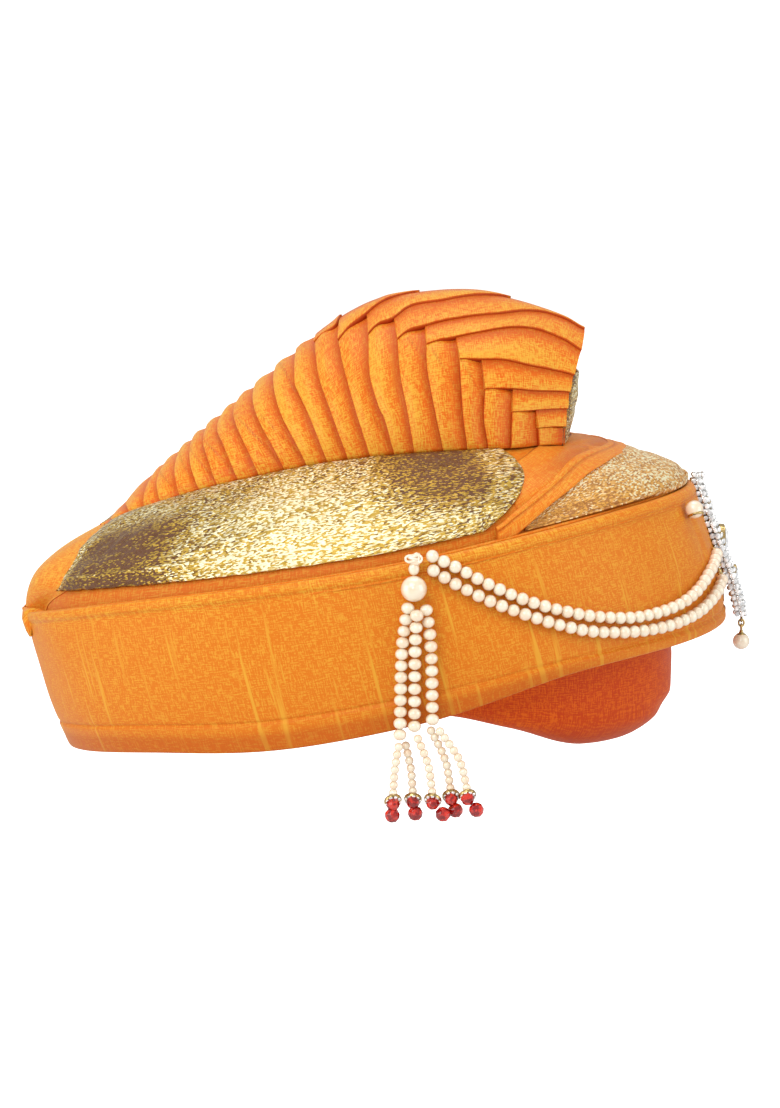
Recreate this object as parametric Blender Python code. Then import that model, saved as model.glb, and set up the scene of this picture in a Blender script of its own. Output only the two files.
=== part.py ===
"""Ready-tied turban of pleated orange silk, with gold tissue panels, a pearl garland and a brooch.

Metres, +Z up. +X is the brow, +Y the wearer's left. The origin is the centre of the head opening.
Angles go round the brim in degrees: 0 at the brow, 180 at the back, minus on the wearer's right,
which is the side with the garland and the tassel.
"""
import math

import bmesh
import bpy
import numpy as np

# Clearances between touching pieces
GAP = 0.0003
CLOTH_GAP = 0.0008

# Flat sides of the brim band, the head cap and the deck, which face each other
RING_SIDES = 36

# Brim band: the stiff ring, whose top lies further back than its foot
BAND_LENGTH = 0.275
BAND_WIDTH = 0.232
BAND_HEIGHT = 0.056
BAND_FOOT_CENTRE = -0.0101
BAND_FOOT_BACK = -0.005
BAND_RISE = 0.050
BAND_LEAN = 0.0155
BAND_CROWN = 0.002
BAND_WALL = 0.0025
BAND_LEDGE = 0.0065
BAND_ROLL = 0.0014
BAND_ROLL_LIFT = 0.0006

# Head cap, the inner shell
CAP_LENGTH = 0.208
CAP_WIDTH = 0.166
CAP_CENTRE = 0.001
CAP_SHOULDER = 0.056
CAP_TOP = 0.100
CAP_WALL = 0.0025
CAP_BROW_ROLL = 0.015

# Deck, the domed cloth inside the brim
DECK_RISE = 0.048
DECK_WALL = 0.002
DECK_SKIRT = 0.002

# Crest, the pleated wall that rises to a ridge
CREST_TAIL = -0.1335
CREST_LENGTH = 0.190
CREST_WIDTH = 0.112
CREST_HEIGHT = 0.0925
CREST_TAIL_HEIGHT = 0.0028
CREST_OVERHANG = 0.011
CREST_BROW_HEIGHT = 0.0455
CREST_WALL = 0.003
CREST_PLEAT = 0.0028
CREST_ROWS = 6
BROW_COLUMNS = 6

# Gold tissue and silk laid over the deck
TISSUE = 0.0012
STRAP_THICKNESS = 0.0024
WRAP_WALL = 0.002
WRAP_REACH = 0.0055
BROW_GOLD_BULGE = 0.0022

# Pearls and stones
GARLAND_PEARL = 0.005
COLUMN_PEARL = 0.0046
STRAND_PEARL = 0.003
BIG_PEARL = 0.010
SIDE_PEARL = 0.0074
DROP_PEARL = 0.007
BEAD_SIDES = 10
CRYSTAL_WIDTH = 0.0058
CRYSTAL_HEIGHT = 0.0038
RONDELLE_WIDTH = 0.0066
RONDELLE_HEIGHT = 0.0022

# Tassel
TASSEL_ANGLE = -81.0
KNOT_LIFT = 0.0042
KNOT_WIDTH = 0.0056
KNOT_HEIGHT = 0.0080
COLUMN_LENGTH = 0.0535
STRAND_LENGTH = 0.0215

# Brooch
BROOCH_THICKNESS = 0.0038
BROOCH_WIDTH = 0.030
BROOCH_LENGTH = 0.0597
BROOCH_STANDOFF = 0.0042
BROOCH_STONE = 0.011
SIDE_PEARL_ANGLE = -19.5
LINK_WIDTH = 0.0013
LINK_LENGTH = 0.0072

# Round the brim: angle, foot as a share of the rise, height as a share of the band's height
BRIM_EDGES = (
    (0, 1.00, 1.00),
    (35, 0.93, 1.00),
    (60, 0.80, 0.97),
    (85, 0.52, 1.02),
    (110, 0.28, 1.06),
    (135, 0.17, 1.00),
    (160, 0.05, 0.955),
    (180, 0.00, 0.93),
)

# Rim of the head cap: angle, height over the band's back foot as a share of the band's rise,
# roll under as a share of the brow roll
CAP_RIM = (
    (0, 0.17, 1.00),
    (45, 0.13, 1.00),
    (70, 0.28, 0.55),
    (88, 0.40, 0.22),
    (110, 0.22, 0.16),
    (135, 0.12, 0.16),
    (160, 0.00, 0.16),
    (180, -0.05, 0.16),
)

# Dome of the deck: angle, rise as a share of the deck's rise, power of its shoulder
DECK_DOME = (
    (0, 0.78, 0.60),
    (60, 0.90, 0.60),
    (100, 1.00, 0.60),
    (140, 1.04, 0.52),
    (180, 0.98, 0.45),
)

# Crest in plan: share of its length from the tail, share of its half width
CREST_PLAN = (
    (0.00, 0.00),
    (0.05, 0.26),
    (0.13, 0.57),
    (0.21, 0.75),
    (0.32, 0.89),
    (0.45, 0.95),
    (0.60, 0.98),
    (0.70, 1.00),
    (0.80, 0.97),
    (0.90, 0.88),
    (1.00, 0.66),
    (1.07, 0.58),
)

# Ridge of the crest: share of its length from the tail, share of its height
CREST_RIDGE = (
    (0.000, 0.000),
    (0.112, 0.197),
    (0.288, 0.501),
    (0.463, 0.803),
    (0.539, 0.902),
    (0.615, 0.963),
    (0.713, 0.993),
    (0.813, 1.000),
    (0.919, 0.949),
    (1.005, 0.884),
    (1.060, 0.829),
)

# Pleats of the crest: foot as a share of the base, end as a share of the ridge, and past 1 as one
# plus the share of the brow edge from its top to its foot
PLEATS = (
    (0.000, 0.000),
    (0.074, 0.054),
    (0.098, 0.086),
    (0.132, 0.118),
    (0.171, 0.149),
    (0.208, 0.177),
    (0.245, 0.205),
    (0.287, 0.230),
    (0.326, 0.258),
    (0.362, 0.297),
    (0.413, 0.331),
    (0.462, 0.369),
    (0.505, 0.412),
    (0.546, 0.453),
    (0.595, 0.510),
    (0.647, 0.726),
    (0.689, 0.897),
    (0.748, 1.060),
    (0.800, 1.160),
    (0.842, 1.380),
    (0.889, 1.525),
    (0.942, 1.660),
    (0.974, 1.820),
    (1.000, 2.000),
)

# Across one pleat: share of its width, share of its depth
PLEAT_PROFILE = (
    (0.00, 0.00),
    (0.22, 1.00),
    (0.66, 0.62),
)

# Strap over the front of the deck: angle, inner edge and outer edge as shares of the deck's reach
STRAP_EDGES = (
    (0, 0.785, 0.850),
    (22, 0.787, 0.856),
    (33, 0.800, 0.880),
    (40, 0.828, 0.902),
    (46, 0.866, 0.928),
    (53, 0.910, 0.955),
    (60, 0.945, 0.976),
    (64, 0.958, 0.984),
)

# Gold panel beside the crest: share along the panel, foot angle, lower edge as a share of the reach
PANEL_FOOT = (
    (0.00, 160, 0.985),
    (0.30, 132, 0.985),
    (0.60, 103, 0.985),
    (1.00, 68.5, 0.985),
)

# Garland: angle, height on the band as a share of the band's height, for each string
GARLAND_UPPER_ROUTE = (
    (-77.9, 1.030),
    (-74.8, 0.925),
    (-70.2, 0.750),
    (-65.1, 0.587),
    (-59.6, 0.458),
    (-53.7, 0.360),
    (-45.8, 0.288),
    (-36.4, 0.285),
    (-28.1, 0.338),
    (-18.8, 0.443),
    (-12.0, 0.513),
)
GARLAND_LOWER_ROUTE = (
    (-78.3, 0.935),
    (-75.4, 0.810),
    (-70.9, 0.645),
    (-65.7, 0.490),
    (-60.1, 0.352),
    (-54.2, 0.254),
    (-46.0, 0.187),
    (-37.1, 0.170),
    (-28.1, 0.200),
    (-19.5, 0.265),
    (-13.0, 0.330),
)

# Tassel columns: side step at the top, side step at the foot, step forward at the top, drop of the
# top, length share
COLUMNS = (
    (-0.0020, -0.0054, 0.0000, 0.0000, 1.00),
    (0.0012, 0.0002, 0.0038, 0.0022, 0.90),
    (0.0044, 0.0072, 0.0000, 0.0006, 0.88),
)

# Thin strands: column it hangs from, side step at the top, side step at the foot, step forward,
# length share, side step of the lower stone from the upper one
STRANDS = (
    (0, -0.0056, -0.0080, 0.0009, 1.00, -0.0003),
    (0, -0.0034, -0.0003, -0.0021, 0.99, 0.0006),
    (1, 0.0010, 0.0073, 0.0009, 0.98, 0.0022),
    (2, 0.0060, 0.0144, -0.0016, 0.93, 0.0014),
    (2, 0.0092, 0.0207, 0.0009, 0.90, 0.0026),
)

# Brooch: share of its length from the top, step forward from the band's face as a share of the
# standoff, half width as a share of the brooch's half width
BROOCH_FORM = (
    (0.00, -0.10, 0.16),
    (0.12, 0.06, 0.50),
    (0.28, 0.10, 0.84),
    (0.45, 0.25, 1.00),
    (0.62, 0.50, 0.86),
    (0.80, 0.80, 0.54),
    (0.93, 0.98, 0.30),
    (1.00, 1.00, 0.18),
)

# Brooch stones: share of the brooch's length from the top, share of the main stone's size
BROOCH_STONES = (
    (0.24, 0.66),
    (0.47, 1.00),
    (0.71, 0.62),
)

# Names of finishes: colour, roughness, metallic
FINISHES = {
    "orange_silk": ((0.85, 0.30, 0.04), 0.45, 0.0),
    "deep_silk": ((0.62, 0.12, 0.01), 0.55, 0.0),
    "pleated_silk": ((0.83, 0.27, 0.05), 0.38, 0.0),
    "gold_tissue": ((0.72, 0.55, 0.22), 0.30, 0.6),
    "pearl": ((0.93, 0.86, 0.76), 0.20, 0.0),
    "gilt": ((0.60, 0.44, 0.18), 0.30, 1.0),
    "red_crystal": ((0.60, 0.01, 0.02), 0.05, 0.0),
    "clear_stone": ((0.90, 0.92, 0.95), 0.05, 0.0),
    "silver": ((0.80, 0.79, 0.76), 0.25, 1.0),
}


def smooth_value(table, column, value):
    """Read a column at a value of the table's first column, on a smooth curve through the rows."""
    steps = [row[0] for row in table]
    reads = [row[column] for row in table]
    value = min(max(value, steps[0]), steps[-1])
    slopes = [0.0] * len(steps)
    for index in range(1, len(steps) - 1):
        slopes[index] = (reads[index + 1] - reads[index - 1]) / (steps[index + 1] - steps[index - 1])
    index = min(int(np.searchsorted(steps, value, side="right")) - 1, len(steps) - 2)
    width = steps[index + 1] - steps[index]
    part = (value - steps[index]) / width
    curve = (2 * part ** 3 - 3 * part ** 2 + 1) * reads[index]
    curve += (part ** 3 - 2 * part ** 2 + part) * width * slopes[index]
    curve += (3 * part ** 2 - 2 * part ** 3) * reads[index + 1]
    curve += (part ** 3 - part ** 2) * width * slopes[index + 1]
    return curve


def mix(first, last, share):
    """Go from the first value to the last by a share."""
    return first + (last - first) * share


def turn_of(angle):
    """Give the size of an angle in degrees, from 0 at the brow to 180 at the back."""
    return abs((angle + 180) % 360 - 180)


def finish(name):
    """Give the material of a named finish."""
    material = bpy.data.materials.get(name)
    if material is None:
        colour, roughness, metallic = FINISHES[name]
        material = bpy.data.materials.new(name)
        material.use_nodes = True
        shader = material.node_tree.nodes["Principled BSDF"]
        shader.inputs["Base Color"].default_value = (*colour, 1.0)
        shader.inputs["Roughness"].default_value = roughness
        shader.inputs["Metallic"].default_value = metallic
    return material


def add_object(name, points, faces, finish_name, sharp_angle=40):
    """Make one closed body from points and faces, merged where they meet and facing out."""
    shape = bmesh.new()
    corners = [shape.verts.new(point) for point in points]
    for face in faces:
        ring = [corners[index] for index in dict.fromkeys(face)]
        if len(ring) > 2:
            shape.faces.new(ring)
    bmesh.ops.remove_doubles(shape, verts=shape.verts, dist=0.00001)
    bmesh.ops.dissolve_degenerate(shape, edges=shape.edges, dist=0.000005)
    bmesh.ops.triangulate(shape, faces=[face for face in shape.faces if len(face.verts) == 4])
    bmesh.ops.recalc_face_normals(shape, faces=shape.faces)
    mesh = bpy.data.meshes.new(name)
    shape.to_mesh(mesh)
    shape.free()
    mesh.materials.append(finish(finish_name))
    mesh.shade_smooth()
    mesh.set_sharp_from_angle(angle=math.radians(sharp_angle))
    piece = bpy.data.objects.new(name, mesh)
    bpy.context.scene.collection.objects.link(piece)
    return piece


def loft(rings, around=True, along=False, caps=False):
    """Join rings of points, each closed around, and close them along their run or with end caps."""
    count = len(rings)
    sides = len(rings[0])
    points = [tuple(point) for ring in rings for point in ring]
    faces = []
    for step in range(count if along else count - 1):
        after = (step + 1) % count
        for side in range(sides if around else sides - 1):
            beside = (side + 1) % sides
            faces.append((step * sides + side, step * sides + beside,
                          after * sides + beside, after * sides + side))
    if caps:
        faces.append(tuple(range(sides)))
        faces.append(tuple((count - 1) * sides + side for side in range(sides)))
    return points, faces


def slab(outer, inner):
    """Close two like grids of points, an outer and an inner one, into a sheet with four edges."""
    rows = len(outer)
    columns = len(outer[0])
    rings = [list(outer[row]) + list(reversed(inner[row])) for row in range(rows)]
    points, faces = loft(rings)
    for row in (0, rows - 1):
        start = row * 2 * columns
        for column in range(columns - 1):
            faces.append((start + column, start + column + 1,
                          start + 2 * columns - 2 - column, start + 2 * columns - 1 - column))
    return points, faces


def band_foot(angle):
    """Give the height of the band's lower edge."""
    return BAND_FOOT_BACK + BAND_RISE * smooth_value(BRIM_EDGES, 1, turn_of(angle))


def band_top(angle):
    """Give the height of the band's upper edge."""
    return band_foot(angle) + BAND_HEIGHT * smooth_value(BRIM_EDGES, 2, turn_of(angle))


def band_point(angle, share, out=0.0):
    """Give a point on the band's face, at a share of its height, and a step out from the face."""
    turn = math.radians(angle)
    inside = min(max(share, 0.0), 1.0)
    reach = out + BAND_CROWN * 4 * inside * (1 - inside)
    centre = BAND_FOOT_CENTRE - BAND_LEAN * share
    return np.array((
        centre + (BAND_LENGTH / 2 + reach) * math.cos(turn),
        (BAND_WIDTH / 2 + reach) * math.sin(turn),
        mix(band_foot(angle), band_top(angle), share),
    ))


def cap_point(angle, inset, height):
    """Give a point on the head cap's wall, a step in from its widest outline."""
    turn = math.radians(angle)
    return np.array((
        CAP_CENTRE + (CAP_LENGTH / 2 - inset) * math.cos(turn),
        (CAP_WIDTH / 2 - inset) * math.sin(turn),
        height,
    ))


def cap_rim(angle):
    """Give the height of the head cap's rim and how far its wall rolls under there."""
    turn = turn_of(angle)
    height = BAND_FOOT_BACK + BAND_RISE * smooth_value(CAP_RIM, 1, turn)
    return height, CAP_BROW_ROLL * smooth_value(CAP_RIM, 2, turn)


def deck_centre():
    """Give the middle of the deck's ring along X."""
    return BAND_FOOT_CENTRE - BAND_LEAN


def deck_ring(grow=0.0):
    """Give the half length and half width of the deck's ring, grown by a step."""
    inset = BAND_LEDGE + GAP - grow
    return BAND_LENGTH / 2 - inset, BAND_WIDTH / 2 - inset


def deck_plane(x):
    """Give the height at x of the plane through the brow and the back of the band's top."""
    slope = (band_top(0) - band_top(180)) / BAND_LENGTH
    return band_top(0) + slope * (x - deck_centre() - BAND_LENGTH / 2)


def deck_point(angle, reach, grow=0.0):
    """Give a point of the domed deck: reach is 0 at its middle and 1 at its ring."""
    turn = math.radians(angle)
    half_length, half_width = deck_ring(grow)
    ring_x = deck_centre() + half_length * math.cos(turn)
    x = mix(deck_centre(), ring_x, reach)
    share = mix(1.0, smooth_value(DECK_DOME, 1, turn_of(angle)), reach)
    power = smooth_value(DECK_DOME, 2, turn_of(angle))
    height = deck_plane(x) + (band_top(angle) - deck_plane(ring_x)) * reach ** 2
    height += (DECK_RISE * share + grow) * max(0.0, 1 - reach ** 2) ** power
    return np.array((x, reach * half_width * math.sin(turn), height))


def deck_place(x, y):
    """Give the angle and the reach on the deck under a point in plan."""
    half_length, half_width = deck_ring()
    along = (x - deck_centre()) / half_length
    across = y / half_width
    return math.degrees(math.atan2(across, along)), math.hypot(along, across)


def deck_height(x, y, grow=0.0):
    """Give the deck's height under a point in plan."""
    angle, reach = deck_place(x, y)
    return deck_point(angle, min(reach, 1.0), grow)[2]


def brim_band():
    """Make the band: a C section of rolled top, ledge, face and hem, carried round the brim."""
    rings = []
    for side in range(RING_SIDES):
        angle = 360 * side / RING_SIDES
        foot = band_foot(angle)
        height = band_top(angle) - foot

        def at(out, lift, top=False):
            share = (lift + (height if top else 0)) / height
            return band_point(angle, share, out)

        hem = cap_point(angle, -GAP, foot)
        hem_lining = cap_point(angle, -GAP, foot + BAND_WALL)
        section = [hem, at(-0.0040, 0), at(-0.0008, 0.0003), at(0, 0.0020)]
        section += [band_point(angle, share) for share in (0.30, 0.55, 0.78)]
        section += [
            at(0, -0.0045, top=True),
            at(BAND_ROLL, -0.0026, top=True),
            at(BAND_ROLL * 0.8, -0.0004, top=True),
            at(-0.0012, BAND_ROLL_LIFT, top=True),
            at(-0.0030, -0.0006, top=True),
            at(-BAND_LEDGE, -0.0008, top=True),
            at(-BAND_LEDGE, -0.0008 - BAND_WALL, top=True),
            at(-BAND_WALL - 0.0010, -0.0030 - BAND_WALL, top=True),
            at(-BAND_WALL - 0.0006, BAND_WALL + 0.0010),
            hem_lining,
        ]
        rings.append(section)
    points, faces = loft(rings, along=True)
    add_object("brim_band", points, faces, "orange_silk")


def head_cap():
    """Make the head cap: a hollow shell, rolled under at the brow and cut up over the ears."""
    roll_steps = ((1.00, 0.00), (0.50, 0.10), (0.16, 0.42), (0.00, 1.00))
    dome_steps = (25, 50, 72)
    outer_rows = [[] for _ in range(len(roll_steps) + 1 + len(dome_steps))]
    inner_rows = [[] for _ in outer_rows]
    for side in range(RING_SIDES):
        angle = 360 * side / RING_SIDES
        rim, roll = cap_rim(angle)
        for row, (inset, lift) in enumerate(roll_steps):
            outer_rows[row].append(cap_point(angle, roll * inset, rim + roll * lift))
            inner_rows[row].append(cap_point(angle, roll * inset + CAP_WALL, rim + roll * lift))
        row = len(roll_steps)
        outer_rows[row].append(cap_point(angle, 0, CAP_SHOULDER))
        inner_rows[row].append(cap_point(angle, CAP_WALL, CAP_SHOULDER))
        for step, climb in enumerate(dome_steps):
            row = len(roll_steps) + 1 + step
            lean = math.cos(math.radians(climb))
            lift = math.sin(math.radians(climb))
            for rows, wall in ((outer_rows, 0.0), (inner_rows, CAP_WALL)):
                turn = math.radians(angle)
                rows[row].append(np.array((
                    CAP_CENTRE + (CAP_LENGTH / 2 - wall) * lean * math.cos(turn),
                    (CAP_WIDTH / 2 - wall) * lean * math.sin(turn),
                    CAP_SHOULDER + (CAP_TOP - wall - CAP_SHOULDER) * lift,
                )))
    rings = list(reversed(outer_rows)) + inner_rows
    points, faces = loft(rings)
    for crown, first in ((CAP_TOP, 0), (CAP_TOP - CAP_WALL, (len(rings) - 1) * RING_SIDES)):
        pole = len(points)
        points.append((CAP_CENTRE, 0.0, crown))
        faces += [(pole, first + side, first + (side + 1) % RING_SIDES) for side in range(RING_SIDES)]
    add_object("head_cap", points, faces, "deep_silk", sharp_angle=60)


def deck():
    """Make the deck: a thin dome that stands inside the band's ledge."""
    outer_reaches = (1.0, 0.985, 0.94, 0.87, 0.75, 0.50)
    inner_reaches = (1.0, 0.94, 0.75)
    angles = [360 * side / RING_SIDES for side in range(RING_SIDES)]
    skirt = np.array((0.0, 0.0, DECK_SKIRT))
    rings = [[deck_point(angle, reach) for angle in angles] for reach in reversed(outer_reaches)]
    rings.append([deck_point(angle, 1.0) - skirt for angle in angles])
    rings.append([deck_point(angle, 1.0, -DECK_WALL) - skirt for angle in angles])
    rings += [[deck_point(angle, reach, -DECK_WALL) for angle in angles] for reach in inner_reaches]
    points, faces = loft(rings)
    for grow, first in ((0.0, 0), (-DECK_WALL, (len(rings) - 1) * RING_SIDES)):
        pole = len(points)
        points.append(tuple(deck_point(0, 0, grow)))
        faces += [(pole, first + side, first + (side + 1) % RING_SIDES) for side in range(RING_SIDES)]
    add_object("deck", points, faces, "orange_silk")


def deck_sheet(name, angles, edges, thickness, finish_name, rows=6):
    """Lay a sheet on the deck between two edges, each given as a reach for an angle."""
    outer = []
    inner = []
    for angle in angles:
        low, high = edges(angle)
        reaches = [mix(low, high, step / (rows - 1)) for step in range(rows)]
        outer.append([deck_point(angle, reach, CLOTH_GAP + thickness) for reach in reaches])
        inner.append([deck_point(angle, reach, CLOTH_GAP) for reach in reaches])
    points, faces = slab(outer, inner)
    add_object(name, points, faces, finish_name)


def back_wrap():
    """Make the folded cloth over the back: it stands on the ledge and closes on the deck."""
    ledge_angle = 15.5
    upper_angle = 8.0
    columns = 8
    reaches = (1.0, 0.985, 0.96, 0.925, 0.885, 0.85)
    parts = [(reach - reaches[-1]) / (reaches[0] - reaches[-1]) for reach in reaches]
    rest = np.array((0, 0, BAND_ROLL_LIFT + CLOTH_GAP))
    outer = []
    inner = []
    for column in range(columns + 1):
        across = 2 * column / columns - 1
        for rows, wall in ((outer, WRAP_WALL), (inner, 0.0)):
            row = []
            for reach, part in zip(reaches, parts):
                angle = 180 + across * mix(upper_angle, ledge_angle, part)
                lift = mix(CLOTH_GAP, WRAP_REACH - WRAP_WALL, part)
                row.append(deck_point(angle, reach, lift + wall) + rest * part)
            rows.append(row)
    points, faces = slab(outer, inner)
    add_object("back_wrap", points, faces, "orange_silk")


def crest_half_width(share):
    """Give the crest's half width in plan at a share of its length."""
    return CREST_WIDTH / 2 * smooth_value(CREST_PLAN, 1, share)


def crest_tail_top():
    """Give the height of the ridge at the crest's tail."""
    return deck_height(CREST_TAIL, 0.0) + CREST_TAIL_HEIGHT


def crest_ridge(x):
    """Give the height of the ridge at x."""
    share = (x - CREST_TAIL) / CREST_LENGTH
    return crest_tail_top() + CREST_HEIGHT * smooth_value(CREST_RIDGE, 1, share)


def crest_base(x):
    """Give the height of the crest's lower edge at x, where its wall stands on the deck."""
    share = (x - CREST_TAIL) / CREST_LENGTH
    return deck_height(x, crest_half_width(share)) + 2 * GAP


def brow_edge(share):
    """Give x and z on the crest's brow edge, from its foot at 0 to its top at 1."""
    foot = CREST_TAIL + CREST_LENGTH
    return foot + CREST_OVERHANG * share ** 1.8, crest_base(foot) + CREST_BROW_HEIGHT * share


def pleat_line(base, end, rows):
    """Give points in side view of one pleat line, from its foot to the ridge or the brow edge.

    A line is a curve drawn to a corner point. Lines that end on the ridge lean back as they rise, and
    lines that turn to the brow edge have their corner over their foot.
    """
    foot_x = CREST_TAIL + CREST_LENGTH * base
    foot = np.array((foot_x, crest_base(foot_x)))
    ridge_reach = CREST_LENGTH + CREST_OVERHANG
    if end <= 1:
        end_x = CREST_TAIL + ridge_reach * end
        last = np.array((end_x, crest_ridge(end_x)))
    else:
        last = np.array(brow_edge(2 - end))
    rise = last[1] - foot[1]
    lean = 2.6 * rise ** 2
    turning = min(max((last[0] - foot[0]) / 0.020, 0.0), 1.0)
    straight = np.array((last[0], foot[1] + 0.5 * rise))
    turned = np.array((foot[0] - lean, last[1] + 0.04 * rise))
    corner = mix(straight, turned, turning)
    line = []
    for row in range(rows + 1):
        step = row / rows
        point = (1 - step) ** 3 * foot + 3 * step * (1 - step) * corner + step ** 3 * last
        line.append(point)
    return line


def crest_point(x, z, relief=0.0, wall=0.0):
    """Give the point of the crest's wall over x and z, with a pleat's relief along its normal."""
    share = (x - CREST_TAIL) / CREST_LENGTH
    base = crest_base(x)
    top = crest_ridge(x)
    climb = min(max((z - base) / (top - base), 0.0), 1.0)
    spread = math.sqrt(max(0.0, 1 - climb ** 2))
    half_width = max(crest_half_width(share) - wall, 0.0)
    roof = max(top - wall, deck_height(x, 0.0) + CLOTH_GAP)
    height = mix(deck_height(x, half_width) + 2 * GAP, roof, climb)
    return np.array((x, -(half_width + relief) * spread, height + relief * climb))


def crest_columns():
    """List the columns of the crest: foot share, end share and share of the pleat's depth."""
    columns = []
    for (base, end), (next_base, next_end) in zip(PLEATS, PLEATS[1:]):
        for across, depth in PLEAT_PROFILE:
            columns.append((mix(base, next_base, across), mix(end, next_end, across), depth))
    columns.append((*PLEATS[-1], 0.0))
    return columns


def crest_grid(inside):
    """Give the grid of points of the crest's near wall, outside with pleats or inside plain."""
    grid = []
    middle = CREST_TAIL + CREST_LENGTH / 2
    for base, end, depth in crest_columns():
        column = []
        line = pleat_line(base, end, CREST_ROWS)
        for row, (x, z) in enumerate(line):
            swell = math.sin(math.pi * (0.08 + 0.80 * row / CREST_ROWS))
            swell *= min(1.0, base / 0.06) if row else 0.0
            if inside:
                climb = (z - crest_base(x)) / (crest_ridge(x) - crest_base(x))
                if row < CREST_ROWS:
                    climb = min(climb, mix(0.90, 0.99, row / CREST_ROWS))
                inner_x = mix(middle, x, 0.94)
                inner_z = mix(crest_base(inner_x), crest_ridge(inner_x), min(climb, 1.0))
                column.append(crest_point(inner_x, inner_z, wall=CREST_WALL))
            else:
                if row < CREST_ROWS:
                    limit = mix(0.90, 0.99, row / CREST_ROWS)
                    z = min(z, mix(crest_base(x), crest_ridge(x), limit))
                column.append(crest_point(x, z, relief=CREST_PLEAT * depth * swell))
        grid.append(column)
    return grid


def brow_wall(edge):
    """Give rows of points across the crest's brow end, for the points of its near edge, foot last."""
    foot_height = edge[-1][2]
    top_height = edge[0][2]
    rows = []
    for x, y, z in edge:
        climb = (z - foot_height) / (top_height - foot_height)
        row = []
        for step in range(BROW_COLUMNS + 1):
            across = y * (1 - 2 * step / BROW_COLUMNS)
            swell = deck_height(x, across) - deck_height(x, y)
            row.append(np.array((x, across, z + swell * (1 - climb))))
        rows.append(row)
    return rows


def crest():
    """Make the crest: pleated outside, plain inside, open below, the far side like the near one."""
    outer = crest_grid(inside=False)
    inner = crest_grid(inside=True)[::len(PLEAT_PROFILE)]
    ends = [column[1] for column in crest_columns()]
    points = []
    faces = []
    feet = {}
    brows = {}
    for name, grid, grid_ends in (("outer", outer, ends), ("inner", inner, ends[::len(PLEAT_PROFILE)])):
        for side, sign in (("near", 1), ("far", -1)):
            start = len(points)
            points += [(x, y * sign, z) for column in grid for x, y, z in column]
            height = CREST_ROWS + 1
            for column in range(len(grid) - 1):
                for row in range(CREST_ROWS):
                    low = start + column * height + row
                    faces.append((low, low + height, low + height + 1, low + 1))
            feet[name, side] = [start + column * height for column in range(len(grid))]
        first_brow = next(index for index, end in enumerate(grid_ends) if end > 1)
        ridge_end = len(points)
        points.append(tuple(grid[first_brow - 1][-1]))
        rows = brow_wall([column[-1] for column in grid[first_brow:]])
        start = len(points)
        wall_points, wall_faces = loft(rows, around=False)
        points += wall_points
        faces += [tuple(start + index for index in face) for face in wall_faces]
        faces.append((ridge_end, *range(start, start + BROW_COLUMNS + 1)))
        last = start + (len(rows) - 1) * (BROW_COLUMNS + 1)
        brows[name] = list(range(last, last + BROW_COLUMNS + 1))
    steps = len(PLEAT_PROFILE)
    for side in ("near", "far"):
        outer_feet = feet["outer", side]
        inner_feet = feet["inner", side]
        for pleat in range(len(inner_feet) - 1):
            faces.append((*outer_feet[pleat * steps:(pleat + 1) * steps + 1],
                          inner_feet[pleat + 1], inner_feet[pleat]))
    for step in range(BROW_COLUMNS):
        faces.append((brows["outer"][step], brows["outer"][step + 1],
                      brows["inner"][step + 1], brows["inner"][step]))
    tail_near = feet["inner", "near"][0]
    tail_far = feet["inner", "far"][0]
    faces.append((feet["outer", "near"][0], tail_far, tail_near))
    for row in range(CREST_ROWS):
        faces.append((tail_near + row, tail_near + row + 1, tail_far + row + 1, tail_far + row))
    add_object("crest", points, faces, "pleated_silk", sharp_angle=50)


def crest_front_gold():
    """Make the gold tissue over the crest's brow end, bulging a little forward."""
    rows = 6
    columns = 6
    tallest = 0.60
    outer = []
    inner = []
    for row in range(rows + 1):
        share = tallest * row / rows
        x, z = brow_edge(share)
        edge = abs(crest_point(x, z)[1])
        outer_row = []
        inner_row = []
        for column in range(columns + 1):
            across = 2 * column / columns - 1
            y = across * edge
            bulge = BROW_GOLD_BULGE * (1 - across ** 4)
            for points, out in ((inner_row, 0.0), (outer_row, TISSUE + bulge)):
                front = x + CLOTH_GAP + out
                low = deck_height(front, y) + CLOTH_GAP
                top = brow_edge(tallest)[1]
                points.append(np.array((front, y, mix(low, top, row / rows))))
        outer.append(outer_row)
        inner.append(inner_row)
    points, faces = slab(outer, inner)
    add_object("crest_front_gold", points, faces, "gold_tissue")


def gold_panel(name, side):
    """Lay a gold tissue panel between the crest's foot and the band's ledge, on one side."""
    columns = 18
    rows = 5
    first_share = 0.035
    last_share = 0.865
    outer = []
    inner = []
    for column in range(columns + 1):
        along = column / columns
        share = mix(first_share, last_share, along)
        x = CREST_TAIL + CREST_LENGTH * share
        angle, reach = deck_place(x, crest_half_width(share) + CLOTH_GAP)
        foot_angle = smooth_value(PANEL_FOOT, 1, along)
        foot_reach = smooth_value(PANEL_FOOT, 2, along)
        outer_row = []
        inner_row = []
        for row in range(rows + 1):
            drop = row / rows
            here = side * mix(angle, foot_angle, drop)
            out = mix(reach, foot_reach, 1 - (1 - drop) ** 1.5)
            outer_row.append(deck_point(here, out, CLOTH_GAP + TISSUE))
            inner_row.append(deck_point(here, out, CLOTH_GAP))
        outer.append(outer_row)
        inner.append(inner_row)
    points, faces = slab(outer, inner)
    add_object(name, points, faces, "gold_tissue")


def strap():
    """Lay the folded strap across the front of the deck, from ledge to ledge."""
    angles = [-62 + 6.2 * step for step in range(21)]

    def edges(angle):
        return (smooth_value(STRAP_EDGES, 1, turn_of(angle)),
                smooth_value(STRAP_EDGES, 2, turn_of(angle)))

    deck_sheet("strap", angles, edges, STRAP_THICKNESS, "orange_silk", rows=3)


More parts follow.
